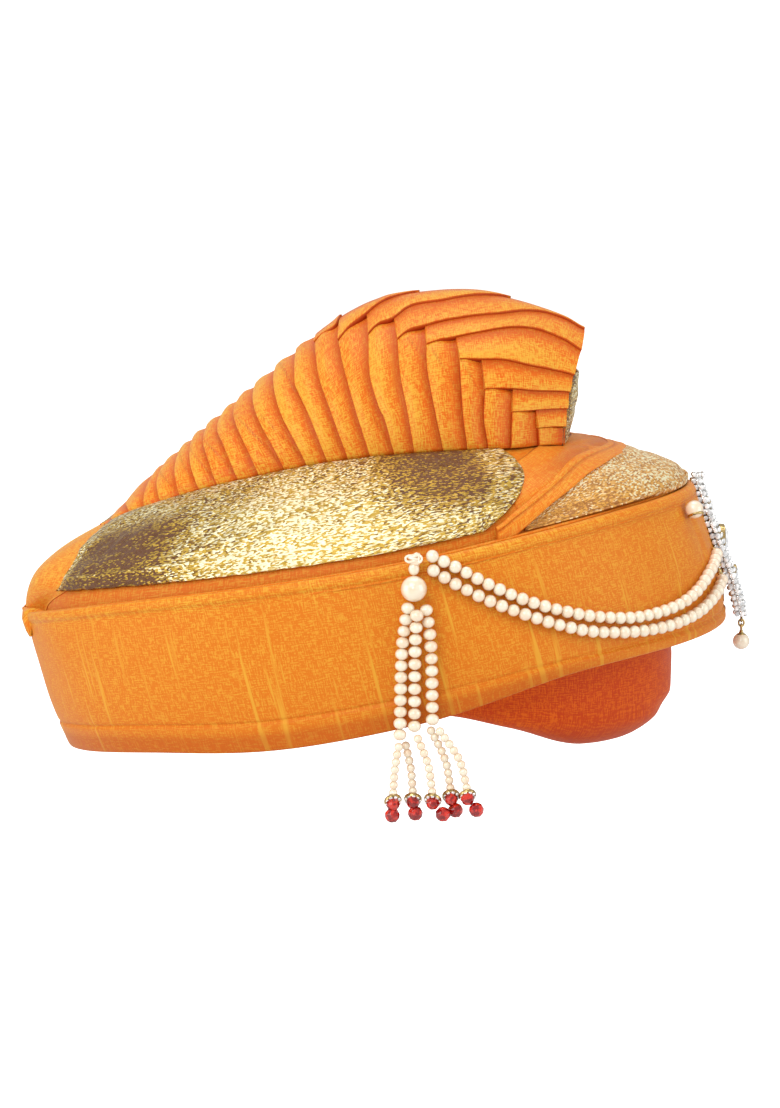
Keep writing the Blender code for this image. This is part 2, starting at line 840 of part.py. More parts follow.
def front_deck_gold():
    """Lay the gold tissue on the deck between the strap and the ledge."""
    angles = [-56 + 7 * step for step in range(17)]

    def edges(angle):
        return smooth_value(STRAP_EDGES, 2, turn_of(angle)) + 0.007, 0.990

    deck_sheet("front_deck_gold", angles, edges, TISSUE, "gold_tissue", rows=4)


def turned_body(name, centre, profile, finish_name, sides=BEAD_SIDES, axis=(0, 0, 1), sharp=50):
    """Turn a profile of radius and height about an axis through a centre, and close its ends."""
    axis = np.array(axis, float) / np.linalg.norm(axis)
    helper = np.array((1.0, 0.0, 0.0))
    across = helper - axis * float(helper @ axis)
    across /= np.linalg.norm(across)
    beside = np.cross(axis, across)
    centre = np.array(centre, float)
    rings = []
    for radius, height in profile:
        ring = []
        for side in range(sides):
            turn = 2 * math.pi * (side + 0.5) / sides
            spoke = across * math.cos(turn) + beside * math.sin(turn)
            ring.append(centre + axis * height + spoke * radius)
        rings.append(ring)
    points, faces = loft(rings, caps=True)
    return add_object(name, points, faces, finish_name, sharp_angle=sharp)


def ball_profile(width, rings=7):
    """Give a ball's profile, from pole to pole, with small flats at the poles."""
    profile = []
    for step in range(rings):
        climb = math.radians(mix(-80, 80, step / (rings - 1)))
        profile.append((width / 2 * math.cos(climb), width / 2 * math.sin(climb)))
    return profile


def smooth_route(points, steps=12):
    """Run a smooth curve through points and give it as many short steps."""
    padded = [2 * points[0] - points[1]] + list(points) + [2 * points[-1] - points[-2]]
    route = []
    for before, first, last, after in zip(padded, padded[1:], padded[2:], padded[3:]):
        for step in range(steps):
            part = step / steps
            route.append(0.5 * (2 * first + (last - before) * part
                                + (2 * before - 5 * first + 4 * last - after) * part ** 2
                                + (3 * first - before - 3 * last + after) * part ** 3))
    route.append(points[-1])
    return np.array(route)


def string_rings(route, width, beaded):
    """Carry a string's section along its route: a row of beads that meet, or a plain cord."""
    lengths = np.concatenate(((0.0,), np.cumsum(np.linalg.norm(np.diff(route, axis=0), axis=1))))
    total = lengths[-1]
    if beaded:
        count = max(2, round(total / width))
        pitch = total / count
        section = ((0.0, 0.42), (0.27, 0.92), (0.73, 0.92))
        stations = [(pitch * (bead + share), width / 2 * size)
                    for bead in range(count) for share, size in section]
        stations.append((total, width / 2 * section[0][1]))
    else:
        stations = [(total * step / 5, width / 2) for step in range(6)]
    rings = []
    up = np.array((0.0, 1.0, 0.0))
    for distance, radius in stations:
        centre = np.array([np.interp(distance, lengths, route[:, axis]) for axis in range(3)])
        ahead = np.array([np.interp(min(distance + width / 3, total), lengths, route[:, axis])
                          for axis in range(3)])
        behind = np.array([np.interp(max(distance - width / 3, 0), lengths, route[:, axis])
                           for axis in range(3)])
        along = (ahead - behind) / np.linalg.norm(ahead - behind)
        across = np.cross(along, up)
        across /= np.linalg.norm(across)
        beside = np.cross(along, across)
        turns = [2 * math.pi * side / BEAD_SIDES for side in range(BEAD_SIDES)]
        rings.append([centre + radius * (across * math.cos(turn) + beside * math.sin(turn))
                      for turn in turns])
    return rings


def garland(name, route):
    """String pearls along the band's face, as one body in which each pearl meets the next."""
    out = GARLAND_PEARL / 2 + 2 * GAP
    places = [band_point(angle, share, out + BAND_ROLL * max(0.0, 5 * share - 4)) for angle, share in route]
    rings = string_rings(smooth_route(places), GARLAND_PEARL, beaded=True)
    points, faces = loft(rings, caps=True)
    add_object(name, points, faces, "pearl", sharp_angle=80)


def tassel():
    """Make the tassel: knot, large pearl, three columns, five strands, rondelles and crystals."""
    knot = KNOT_WIDTH / 2
    knot_profile = (
        (0.30 * knot, -KNOT_HEIGHT),
        (0.72 * knot, -0.92 * KNOT_HEIGHT),
        (0.80 * knot, -0.70 * KNOT_HEIGHT),
        (0.55 * knot, -0.50 * KNOT_HEIGHT),
        (0.95 * knot, -0.32 * KNOT_HEIGHT),
        (1.00 * knot, -0.16 * KNOT_HEIGHT),
        (0.60 * knot, 0.0),
    )
    x, knot_y, top = band_point(TASSEL_ANGLE, 1.0, BAND_ROLL + 2 * GAP + knot) + (0, 0, KNOT_LIFT)
    turned_body("tassel_knot", (x, knot_y, top), knot_profile, "gilt")
    pearl_z = top - KNOT_HEIGHT - GAP - BIG_PEARL / 2
    y = band_point(TASSEL_ANGLE, 0.8, 2 * GAP + BIG_PEARL / 2)[1]
    turned_body("tassel_big_pearl", (x, y, pearl_z), ball_profile(BIG_PEARL, 8), "pearl", sides=14, sharp=80)
    column_top = pearl_z - BIG_PEARL / 2 - GAP
    foot = column_top - COLUMN_LENGTH
    feet = []
    for number, (top_step, foot_step, forward, drop, share) in enumerate(COLUMNS, start=1):
        high = np.array((x + top_step, y - forward, column_top - drop))
        low = np.array((x + foot_step, y, column_top - drop - COLUMN_LENGTH * share))
        feet.append(low[2])
        third = np.array((mix(high[0], low[0], 0.75), mix(high[1], low[1], 0.75), mix(high[2], low[2], 0.35)))
        rings = string_rings(smooth_route([high, third, low]), COLUMN_PEARL, beaded=False)
        points, faces = loft(rings, caps=True)
        add_object(f"tassel_column_{number}", points, faces, "pearl", sharp_angle=80)
    for number, (column, top_step, foot_step, forward, share, swing) in enumerate(STRANDS, start=1):
        high = np.array((x + top_step, y - forward, feet[column] - 3 * GAP))
        low = np.array((x + foot_step, y - forward, foot - GAP - STRAND_LENGTH * share))
        middle = np.array((mix(high[0], low[0], 0.72), high[1], mix(high[2], low[2], 0.5)))
        rings = string_rings(smooth_route([high, middle, low]), STRAND_PEARL * 0.8, beaded=False)
        points, faces = loft(rings, caps=True)
        add_object(f"tassel_strand_{number}", points, faces, "pearl", sharp_angle=80)
        tassel_end(number, low, swing)


def tassel_end(number, hang, swing):
    """Hang a gilt rondelle and two red stones from the foot of one strand."""
    radius = RONDELLE_WIDTH / 2
    half = RONDELLE_HEIGHT / 2
    rondelle = ((0.62 * radius, -half), (radius, -0.4 * half), (radius, 0.4 * half), (0.62 * radius, half))
    centre = np.array((hang[0], hang[1], hang[2] - 2 * GAP - half))
    turned_body(f"tassel_rondelle_{number}", centre, rondelle, "gilt")
    stone = CRYSTAL_WIDTH / 2
    rise = CRYSTAL_HEIGHT / 2
    cut = ((0.45 * stone, -rise), (stone, 0.0), (0.45 * stone, rise))
    for place in (0, 1):
        drop = half + GAP + rise + place * (CRYSTAL_HEIGHT + GAP)
        step = np.array((swing * place, 0, -drop))
        turned_body(f"tassel_crystal_{2 * number - 1 + place}", centre + step, cut,
                    "red_crystal", sharp=10)


def brooch_section(share):
    """Give x of the brooch's back, its height and its half width at a share of its length."""
    top = band_top(0) + 0.0035
    height = top - BROOCH_LENGTH * share
    band_share = (height - band_foot(0)) / (band_top(0) - band_foot(0))
    face = band_point(0, min(band_share, 1.0))[0] + BAND_ROLL * (1 - min(1, share / 0.2))
    back = face + 2 * GAP + BROOCH_STANDOFF * max(0.0, smooth_value(BROOCH_FORM, 1, share))
    return back, height, BROOCH_WIDTH / 2 * smooth_value(BROOCH_FORM, 2, share)


def brooch():
    """Make the brooch: a leaf-shaped plate at the brow, three stones, a side pearl and a drop."""
    rows = 9
    outer = []
    inner = []
    bow = 1 / (2 * BAND_WIDTH / 2)
    for row in range(rows + 1):
        back, height, half_width = brooch_section(row / rows)
        spans = [half_width * (2 * column / 4 - 1) for column in range(5)]
        inner.append([np.array((back - bow * y ** 2, y, height)) for y in spans])
        outer.append([np.array((back - bow * y ** 2 + mix(1.0, 0.45, (y / half_width) ** 2)
                                * BROOCH_THICKNESS, y, height)) for y in spans])
    points, faces = slab(outer, inner)
    add_object("brooch", points, faces, "silver")
    for number, (share, size) in enumerate(BROOCH_STONES, start=1):
        back, height, _ = brooch_section(share)
        before, low, _ = brooch_section(share + 0.05)
        axis = (height - low, 0, before - back)
        radius = BROOCH_STONE / 2 * size
        cut = ((0.80 * radius, 0.0), (radius, 0.18 * radius), (0.55 * radius, 0.50 * radius))
        face = (back + BROOCH_THICKNESS + GAP + 0.0002, 0, height)
        turned_body(f"brooch_stone_{number}", face, cut, "clear_stone", axis=axis, sharp=10)
    pearl = band_point(SIDE_PEARL_ANGLE, 0.88, SIDE_PEARL / 2 + CLOTH_GAP)
    turned_body("brooch_side_pearl", pearl, ball_profile(SIDE_PEARL), "pearl", sides=12, sharp=80)
    back, foot, _ = brooch_section(1.0)
    link = ((LINK_WIDTH / 2, 0.0), (LINK_WIDTH / 2, -LINK_LENGTH))
    ball = [(radius, height - LINK_LENGTH - DROP_PEARL / 2)
            for radius, height in reversed(ball_profile(DROP_PEARL))]
    turned_body("brooch_drop", (back + BROOCH_THICKNESS / 2, 0, foot - GAP), [*link, *ball], "pearl",
                sides=12)


def main():
    """Clear the scene and make every piece."""
    for old in list(bpy.data.objects):
        bpy.data.objects.remove(old)
    head_cap()
    brim_band()
    deck()
    back_wrap()
    crest()
    crest_front_gold()
    gold_panel("gold_panel_near", -1)
    gold_panel("gold_panel_far", 1)
    front_deck_gold()
    strap()
    garland("garland_upper", GARLAND_UPPER_ROUTE)
    garland("garland_lower", GARLAND_LOWER_ROUTE)
    tassel()
    brooch()


main()
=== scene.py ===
"""Looks of a ready-tied silk turban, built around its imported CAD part.

Every surface is a function of two parameters worked out on whole numpy arrays. Heights and routes come from
short tables that are read on smooth curves. X runs to the brow, Y to the wearer's left and Z up, in metres.
"""

import logging
import math
from dataclasses import dataclass, field
from enum import Enum

import bmesh
import bpy
import numpy as np
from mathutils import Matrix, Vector


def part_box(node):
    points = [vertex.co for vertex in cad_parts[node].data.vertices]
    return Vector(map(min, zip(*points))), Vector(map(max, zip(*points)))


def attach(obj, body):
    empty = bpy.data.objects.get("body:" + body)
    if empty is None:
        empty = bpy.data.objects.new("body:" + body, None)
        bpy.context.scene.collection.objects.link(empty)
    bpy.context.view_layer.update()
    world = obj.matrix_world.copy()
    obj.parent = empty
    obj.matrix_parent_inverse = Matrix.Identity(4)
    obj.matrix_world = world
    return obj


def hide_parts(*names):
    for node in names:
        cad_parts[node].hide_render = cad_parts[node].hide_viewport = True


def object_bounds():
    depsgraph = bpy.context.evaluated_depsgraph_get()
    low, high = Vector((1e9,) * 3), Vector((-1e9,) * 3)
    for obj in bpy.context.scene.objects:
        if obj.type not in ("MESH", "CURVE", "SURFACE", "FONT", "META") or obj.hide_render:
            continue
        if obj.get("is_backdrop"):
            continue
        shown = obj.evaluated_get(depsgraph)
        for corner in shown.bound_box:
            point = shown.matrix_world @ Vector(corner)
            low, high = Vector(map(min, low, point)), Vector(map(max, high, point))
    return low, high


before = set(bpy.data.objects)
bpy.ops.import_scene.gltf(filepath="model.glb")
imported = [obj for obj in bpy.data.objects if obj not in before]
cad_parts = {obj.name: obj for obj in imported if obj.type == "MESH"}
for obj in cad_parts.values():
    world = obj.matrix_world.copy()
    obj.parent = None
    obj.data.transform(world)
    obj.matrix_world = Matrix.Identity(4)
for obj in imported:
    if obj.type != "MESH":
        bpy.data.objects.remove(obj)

LOG = logging.getLogger("turban")
Array = np.ndarray
MM = 0.001
# Point masks that every cloth carries and its finish reads: crown paints highlight on raised cloth, and the second
# mask paints shade in creases, hollows, folds and undersides.
PAINTED_LIGHT_MASKS = ("crown", "painted_shade")
UP = np.array((0.0, 0.0, 1.0))
Socket = bpy.types.NodeSocket
Colour = tuple[float, float, float]


class Side(Enum):
    """The side of the turban a piece lies on, as the sign of its Y."""

    NEAR = -1
    FAR = 1


class Held(Enum):
    """How a sheet of cloth is held."""

    STRETCHED = "stretched"
    FOLDED = "folded"
    LAID = "laid"
    GATHERED = "gathered"


def ease(low: float, high: float, value: Array) -> Array:
    """Rise from 0 at low to 1 at high by the cubic 3p² - 2p³ of the clamped share p."""
    part = np.clip((value - low) / (high - low), 0.0, 1.0)
    return part * part * (3.0 - 2.0 * part)


def fold_edge(distance: Array, radius: float) -> Array:
    """Give a rolled edge's height: a quarter circle that is 0 at the edge and 1 a radius in."""
    near = 1.0 - np.clip(distance / radius, 0.0, 1.0)
    return np.sqrt(1.0 - near * near)


def circle(count: int) -> Array:
    """Give even turns round a full circle in radians, from 0."""
    return np.linspace(0, 2 * math.pi, count, endpoint=False)


def square_off(value: Array, power: float) -> Array:
    """Push values towards -1 and 1 by a power, which makes an ellipse squarer."""
    return np.sign(value) * np.abs(value) ** power


@dataclass(frozen=True)
class Curve:
    """A smooth curve through rows whose first number is the parameter."""

    rows: tuple[tuple[float, ...], ...]

    def read(self, column: int, value: Array | float) -> Array:
        """Read one column by cubic Hermite pieces that are level at both ends.

        Args:
            column: Column to read.
            value: Parameters, held inside the table.

        Returns:
            Its values there.
        """
        table = np.array(self.rows, float)
        steps, reads = table[:, 0], table[:, column]
        slopes = np.zeros_like(reads)
        slopes[1:-1] = (reads[2:] - reads[:-2]) / (steps[2:] - steps[:-2])
        value = np.clip(value, steps[0], steps[-1])
        index = np.clip(np.searchsorted(steps, value, side="right") - 1, 0, len(steps) - 2)
        width = steps[index + 1] - steps[index]
        part = (value - steps[index]) / width
        return ((2 * part**3 - 3 * part**2 + 1) * reads[index]
                + (part**3 - 2 * part**2 + part) * width * slopes[index]
                + (3 * part**2 - 2 * part**3) * reads[index + 1]
                + (part**3 - part**2) * width * slopes[index + 1])


def run_through(points: Array, share: Array) -> Array:
    """Run a smooth line through points and read it at shares of its length.

    Each span is the Catmull-Rom cubic, whose slopes are half the chord of the neighbouring points. Shares
    outside 0 to 1 run straight on.

    Args:
        points: Points of the line, one per row.
        share: Shares of its length.

    Returns:
        One point for each share.
    """
    points = np.asarray(points, float)
    ends = np.vstack((2 * points[0] - points[1], points, 2 * points[-1] - points[-2]))
    part = np.linspace(0.0, 1.0, 24, endpoint=False)[:, None, None]
    before, first, last, after = ends[:-3], ends[1:-2], ends[2:-1], ends[3:]
    spans = 0.5 * (2 * first + (last - before) * part + (2 * before - 5 * first + 4 * last - after) * part**2
                   + (3 * first - before - 3 * last + after) * part**3)
    line = np.vstack((spans.transpose(1, 0, 2).reshape(-1, points.shape[1]), points[-1]))
    lengths = np.concatenate(((0.0,), np.cumsum(np.linalg.norm(np.diff(line, axis=0), axis=1))))
    wanted = np.asarray(share, float) * lengths[-1]
    read = np.stack([np.interp(wanted, lengths, line[:, axis]) for axis in range(points.shape[1])], axis=-1)
    start = (line[1] - line[0]) / (lengths[1] - lengths[0])
    finish = (line[-1] - line[-2]) / (lengths[-1] - lengths[-2])
    read += np.minimum(wanted, 0.0)[..., None] * start
    return read + np.maximum(wanted - lengths[-1], 0.0)[..., None] * finish


def ripples(first: Array, second: Array, seed: int) -> Array:
    """Give soft uneven ripples over a surface, as a sum of five sine waves that cross.

    Args:
        first: First coordinate, in ripple widths.
        second: Second coordinate.
        seed: Set of directions and phases.

    Returns:
        Heights of about -1 to 1.
    """
    draw = np.random.default_rng(seed)
    total = np.zeros(np.broadcast(first, second).shape)
    for _ in range(5):
        turn, phase, pace = draw.uniform(0, math.pi), draw.uniform(0, 2 * math.pi), draw.uniform(0.6, 1.6)
        total += np.sin(2 * math.pi * pace * (first * math.cos(turn) + second * math.sin(turn)) + phase)
    return total / 3.2


@dataclass
class Surface:
    """A grid of points, open or closed along its rows and columns, with the masks its finish reads."""

    points: Array
    masks: dict[str, Array] = field(default_factory=dict)
    close_rows: bool = False
    close_columns: bool = False
    cloth_turn: bool = False

    def faces(self) -> tuple[Array, Array]:
        """List the quads of the grid.

        Returns:
            Point indices of each quad, and the place of each corner on the flat cloth. Places are the
            mean distances run along the columns and the rows.
        """
        rows, columns = self.points.shape[:2]
        row, column = np.meshgrid(np.arange(rows - (not self.close_rows)),
                                  np.arange(columns - (not self.close_columns)), indexing="ij")
        corner_rows = np.stack((row, row, row + 1, row + 1), axis=-1).reshape(-1, 4)
        corner_columns = np.stack((column, column + 1, column + 1, column), axis=-1).reshape(-1, 4)
        quads = (corner_rows % rows) * columns + corner_columns % columns
        wide = np.concatenate((self.points, self.points[:, :1]), axis=1)
        tall = np.concatenate((self.points, self.points[:1]), axis=0)
        across = np.linalg.norm(np.diff(wide, axis=1), axis=2).mean(axis=0)
        along = np.linalg.norm(np.diff(tall, axis=0), axis=2).mean(axis=1)
        places = [np.concatenate(((0.0,), np.cumsum(steps))) for steps in (across, along)]
        flat = np.stack((places[0][corner_columns], places[1][corner_rows]), axis=-1)
        return quads, flat[..., ::-1] if self.cloth_turn else flat

    def corners(self) -> tuple[Array, ...]:
        """Give the points at the first to the fourth corner of every quad."""
        quads = self.faces()[0]
        return tuple(self.points.reshape(-1, 3)[quads[:, corner]] for corner in range(4))

    def area(self) -> float:
        """Give the area of the grid in square metres, as the sum of its triangles."""
        a, b, c, d = self.corners()
        halves = (np.linalg.norm(np.cross(*sides), axis=1) for sides in ((b - a, c - a), (c - a, d - a)))
        return float(sum(halves).sum() / 2)

    def facing(self, centre: Array) -> "Surface":
        """Turn the grid round if its quads face a centre, so that they face away from it."""
        a, b, c, d = self.corners()
        normals = np.cross(c - a, d - b)
        outward = (normals * ((a + c) / 2 - np.asarray(centre))).sum()
        if outward >= 0:
            return self
        masks = {name: mask[:, ::-1] for name, mask in self.masks.items()}
        return Surface(self.points[:, ::-1], masks, self.close_rows, self.close_columns, self.cloth_turn)


class Heap:
    """Gathers points and faces and writes them as one mesh."""

    def __init__(self) -> None:
        """Start with nothing."""
        self.points: list[Array] = []
        self.faces: list[list[int]] = []
        self.flat: list[Array] = []
        self.masks: dict[str, list[Array]] = {}
        self.count = 0

    def add(self, points: Array, faces: Array, flat: Array | None = None,
            masks: dict[str, Array] | None = None) -> None:
        """Add one body.

        Args:
            points: Its points.
            faces: Point indices of faces that all have as many corners.
            flat: Place of each corner on the flat cloth. None takes X and Z.
            masks: Values per point, by name.
        """
        points = np.asarray(points, float).reshape(-1, 3)
        faces = np.asarray(faces)
        self.faces += (faces + self.count).tolist()
        self.flat.append((points[faces][..., [0, 2]] if flat is None else flat).reshape(-1, 2))
        for name in PAINTED_LIGHT_MASKS:
            values = (masks or {}).get(name)
            values = np.zeros(len(points)) if values is None else values.ravel()
            self.masks.setdefault(name, []).append(values)
        self.points.append(points)
        self.count += len(points)

    def add_faces(self, faces: Array, start: int) -> None:
        """Add more faces on points that are already there, counted from a starting point."""
        faces = np.asarray(faces)
        self.faces += (faces + start).tolist()
        self.flat.append(np.zeros((faces.size, 2)))

    def add_surface(self, surface: Surface, shift: tuple[float, float] = (0.0, 0.0)) -> None:
        """Add a grid, with its place on the cloth moved by a shift."""
        quads, flat = surface.faces()
        self.add(surface.points, quads, flat + np.asarray(shift), surface.masks)

    def piece(self, name: str, weld: bool = False, smooth: float = 180.0) -> bpy.types.Object:
        """Write the mesh and link its object at the origin.

        Args:
            name: Name of the piece.
            weld: Merge points that meet, which closes seams and poles.
            smooth: Degrees above which an edge is sharp, or 0 for flat faces.

        Returns:
            The new object.
        """
        mesh = bpy.data.meshes.new(name)
        mesh.from_pydata(np.concatenate(self.points), [], self.faces)
        layer = mesh.uv_layers.new(name="Cloth")
        layer.data.foreach_set("uv", np.concatenate(self.flat).ravel().astype(np.float32))
        for mask, values in self.masks.items():
            attribute = mesh.attributes.new(mask, "FLOAT", "POINT")
            attribute.data.foreach_set("value", np.concatenate(values).astype(np.float32))
        if weld:
            shape = bmesh.new()
            shape.from_mesh(mesh)
            bmesh.ops.remove_doubles(shape, verts=shape.verts, dist=0.000002)
            bmesh.ops.dissolve_degenerate(shape, edges=shape.edges, dist=0.000001)
            shape.to_mesh(mesh)
            shape.free()
        if smooth:
            mesh.shade_smooth()
            mesh.set_sharp_from_angle(angle=math.radians(smooth))
        return linked(name, mesh)


def linked(name: str, data: bpy.types.ID) -> bpy.types.Object:
    """Make an object of a mesh, camera or light, link it and give it."""
    made = bpy.data.objects.new(name, data)
    bpy.context.scene.collection.objects.link(made)
    return made


def dress(piece: bpy.types.Object, finish: "Finish", replaced: tuple[str, ...] = (),
          wall: float = 0.0) -> None:
    """Give a piece its finish, its wall and its place in the frame.

    Args:
        piece: The piece.
        finish: Its finish.
        replaced: CAD nodes that it stands for.
        wall: Thickness added on its inner side, or 0.
    """
    piece.data.materials.append(finish.material())
    if wall:
        solid = piece.modifiers.new("wall", "SOLIDIFY")
        solid.thickness = wall
        solid.offset = -1.0
    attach(piece, "root")
    if replaced:
        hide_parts(*replaced)
    LOG.info("%s: %d points", piece.name, len(piece.data.vertices))


def sew(name: str, surface: Surface, smooth: float, finish: "Finish", replaced: tuple[str, ...] = (),
        wall: float = 0.0, weld: bool = False) -> bpy.types.Object:
    """Make and dress a piece of one surface.

    Args:
        name: Name of the piece.
        surface: Its surface.
        smooth: Degrees above which an edge is sharp.
        finish: Its finish.
        replaced: Nodes of the part that it takes the place of.
        wall: Thickness given to it, or 0 for none.
        weld: Merge points that meet.

    Returns:
        The piece.
    """
    heap = Heap()
    heap.add_surface(surface)
    piece = heap.piece(name, weld=weld, smooth=smooth)
    dress(piece, finish, replaced, wall=wall)
    return piece


class Wiring:
    """Adds shader nodes to one tree and joins them."""

    def __init__(self, tree: bpy.types.NodeTree) -> None:
        """Keep the tree."""
        self.tree = tree

    def feed(self, node: bpy.types.Node, **inputs) -> None:
        """Give inputs of a node values or sockets, by name with _ for a space or by number after an n."""
        for name, value in inputs.items():
            key = int(name[1:]) if name[0] == "n" and name[1:].isdigit() else name.replace("_", " ")
            if isinstance(value, Socket):
                self.tree.links.new(value, node.inputs[key])
            else:
                node.inputs[key].default_value = value

    def add(self, kind: str, settings: dict | None = None, **inputs) -> bpy.types.Node:
        """Add a node.

        Args:
            kind: Blender's name of its type.
            settings: Its properties.
            **inputs: Its inputs, as feed takes them.

        Returns:
            The node.
        """
        node = self.tree.nodes.new(kind)
        for name, value in (settings or {}).items():
            setattr(node, name, value)
        self.feed(node, **inputs)
        return node

    def calc(self, operation: str, first: Socket | float, second: Socket | float = 0.0) -> Socket:
        """Add one Math node and give its result."""
        return self.add("ShaderNodeMath", {"operation": operation}, n0=first, n1=second).outputs[0]

    def plus(self, first: Socket | float, second: Socket | float) -> Socket:
        """Add two values."""
        return self.calc("ADD", first, second)

    def times(self, first: Socket | float, second: Socket | float) -> Socket:
        """Multiply two values."""
        return self.calc("MULTIPLY", first, second)

    def bump(self, height: Socket, strength: float, distance: float) -> Socket:
        """Give the normal of a bumped height."""
        settings = {"Height": height, "Strength": strength, "Distance": distance}
        return self.add("ShaderNodeBump", None, **settings).outputs[0]

    def place(self) -> Socket:
        """Give the place on the piece's own coordinates."""
        return self.add("ShaderNodeTexCoord").outputs["Object"]

    def on_cloth(self) -> tuple[Socket, ...]:
        """Give the place on the flat cloth and the two painted light masks: the crown's painted highlight and the
        painted shade.
        """
        masks = (self.add("ShaderNodeAttribute", {"attribute_name": name}).outputs["Fac"]
                 for name in PAINTED_LIGHT_MASKS)
        return self.add("ShaderNodeUVMap", {"uv_map": "Cloth"}).outputs[0], *masks

    def blend(self, share: Socket | float, first: Socket | Colour, second: Socket | Colour) -> Socket:
        """Mix two colours by a share and give the result."""
        node = self.add("ShaderNodeMix", {"data_type": "RGBA"}, n0=share)
        for socket, value in ((node.inputs[6], first), (node.inputs[7], second)):
            if isinstance(value, Socket):
                self.tree.links.new(value, socket)
            else:
                socket.default_value = (*value, 1.0)
        return node.outputs[2]

    def step(self, value: Socket | float, low: float, high: float) -> Socket:
        """Map a value smoothly from 0 at low to 1 at high."""
        node = self.add("ShaderNodeMapRange", {"interpolation_type": "SMOOTHSTEP"}, n0=value, n1=low, n2=high)
        return node.outputs[0]

    def noise(self, vector: Socket, scale: float, detail: float = 2.0) -> Socket:
        """Add a noise texture and give its value."""
        return self.add("ShaderNodeTexNoise", None, Vector=vector, Scale=scale, Detail=detail).outputs[0]

    def stretch(self, vector: Socket, size: tuple[float, float, float], turn: float = 0.0) -> Socket:
        """Scale a vector and turn it about Z by degrees."""
        node = self.add("ShaderNodeMapping", None, Vector=vector, Scale=size,
                        Rotation=(0, 0, math.radians(turn)))
        return node.outputs[0]


def shader_group(name: str, inputs: dict[str, tuple[str, float]], outputs: dict[str, str]) -> tuple:
    """Start a shader node group with named sockets.

    Args:
        name: Name of the group.
        inputs: Socket kind and default by input name.
        outputs: Socket kind by output name.

    Returns:
        The group, its wiring, its input and its output node, the last three None if it is there already.
    """
    found = bpy.data.node_groups.get(name)
    if found:
        return found, None, None, None
    group = bpy.data.node_groups.new(name, "ShaderNodeTree")
    for socket, (kind, default) in inputs.items():
        made = group.interface.new_socket(socket, in_out="INPUT", socket_type=f"NodeSocket{kind}")
        if kind == "Float":
            made.default_value = default
    for socket, kind in outputs.items():
        group.interface.new_socket(socket, in_out="OUTPUT", socket_type=f"NodeSocket{kind}")
    wiring = Wiring(group)
    return group, wiring, wiring.add("NodeGroupInput"), wiring.add("NodeGroupOutput")


def silk_weave() -> bpy.types.NodeTree:
    """Build the slubbed silk group: crossed uneven threads, long thick slubs and a slow change of tone.

    Returns:
        The group. Weave and Tone are from 0 to 1, Slub is a mask and Height is in units of one thread.
    """
    group, wiring, start, end = shader_group(
        "slubbed_silk",
        {"Place": ("Vector", 0.0), "Slubs": ("Float", 0.5)},
        {"Weave": "Float", "Slub": "Float", "Tone": "Float", "Height": "Float"},
    )
    if wiring is None:
        return group
    place = start.outputs["Place"]
    warp = wiring.noise(wiring.stretch(place, (2200, 260, 1)), 1.0, 1.0)
    weft = wiring.noise(wiring.stretch(place, (280, 2200, 1)), 1.0, 1.0)
    fine = wiring.noise(place, 1500.0, 0.0)
    weave = wiring.plus(wiring.times(wiring.plus(warp, weft), 0.42), wiring.times(fine, 0.16))
    long_slubs = wiring.noise(wiring.stretch(place, (330, 13, 1)), 1.0, 2.0)
    short_slubs = wiring.noise(wiring.stretch(place, (620, 26, 1), 1.5), 1.0, 2.0)
    slub = wiring.calc("MAXIMUM", wiring.step(long_slubs, 0.575, 0.68), wiring.step(short_slubs, 0.65, 0.76))
    slub = wiring.times(slub, start.outputs["Slubs"])
    tone = wiring.noise(wiring.stretch(place, (38, 16, 1)), 1.0, 3.0)
    height = wiring.plus(weave, wiring.times(slub, 0.9))
    for name, socket in (("Weave", weave), ("Slub", slub), ("Tone", tone), ("Height", height)):
        wiring.tree.links.new(socket, end.inputs[name])
    return group


def tissue_glint() -> bpy.types.NodeTree:
    """Build the metal thread group: short slanted stitches of random painted brightness, in drifts, that stand in
    for the glints of metal thread.

    Returns:
        The group. Glint is the painted glint of each stitch and Height its lift.
    """
    group, wiring, start, end = shader_group(
        "metal_thread", {"Place": ("Vector", 0.0)},
        {"Glint": "Float", "Height": "Float"},
    )
    if wiring is None:
        return group
    place = start.outputs["Place"]
    slanted = wiring.stretch(place, (900, 1900, 1), 28)
    cells = wiring.add("ShaderNodeTexVoronoi", {"voronoi_dimensions": "2D"}, Vector=slanted, Scale=1.0,
                       Randomness=0.9)
    speck = wiring.add("ShaderNodeSeparateColor", None, Color=cells.outputs["Color"])
    drift = wiring.noise(wiring.stretch(place, (26, 34, 1), 20), 1.0, 3.0)
    glint = wiring.plus(wiring.times(speck.outputs[0], 0.78), wiring.times(drift, 0.44))
    height = wiring.calc("SUBTRACT", speck.outputs[1], wiring.times(cells.outputs["Distance"], 0.8))
    for name, socket in (("Glint", glint), ("Height", height)):
        wiring.tree.links.new(socket, end.inputs[name])
    return group


@dataclass(frozen=True)
class Finish:
    """A finish: its name, the slot it belongs to and its colour."""

    name: str
    slot: str
    colour: Colour

    def start(self) -> tuple[bpy.types.Material, Wiring, bpy.types.Node]:
        """Make the material with only its shader and its output."""
        material = bpy.data.materials.new(self.name)
        material.use_nodes = True
        wiring = Wiring(material.node_tree)
        shader = material.node_tree.nodes["Principled BSDF"]
        shader.inputs["Base Color"].default_value = (*self.colour, 1.0)
        return material, wiring, shader

    def material(self) -> bpy.types.Material:
        """Give the material, built once."""
        return bpy.data.materials.get(self.name) or self.build()

    def build(self) -> bpy.types.Material:
        """Build the material."""
        raise NotImplementedError


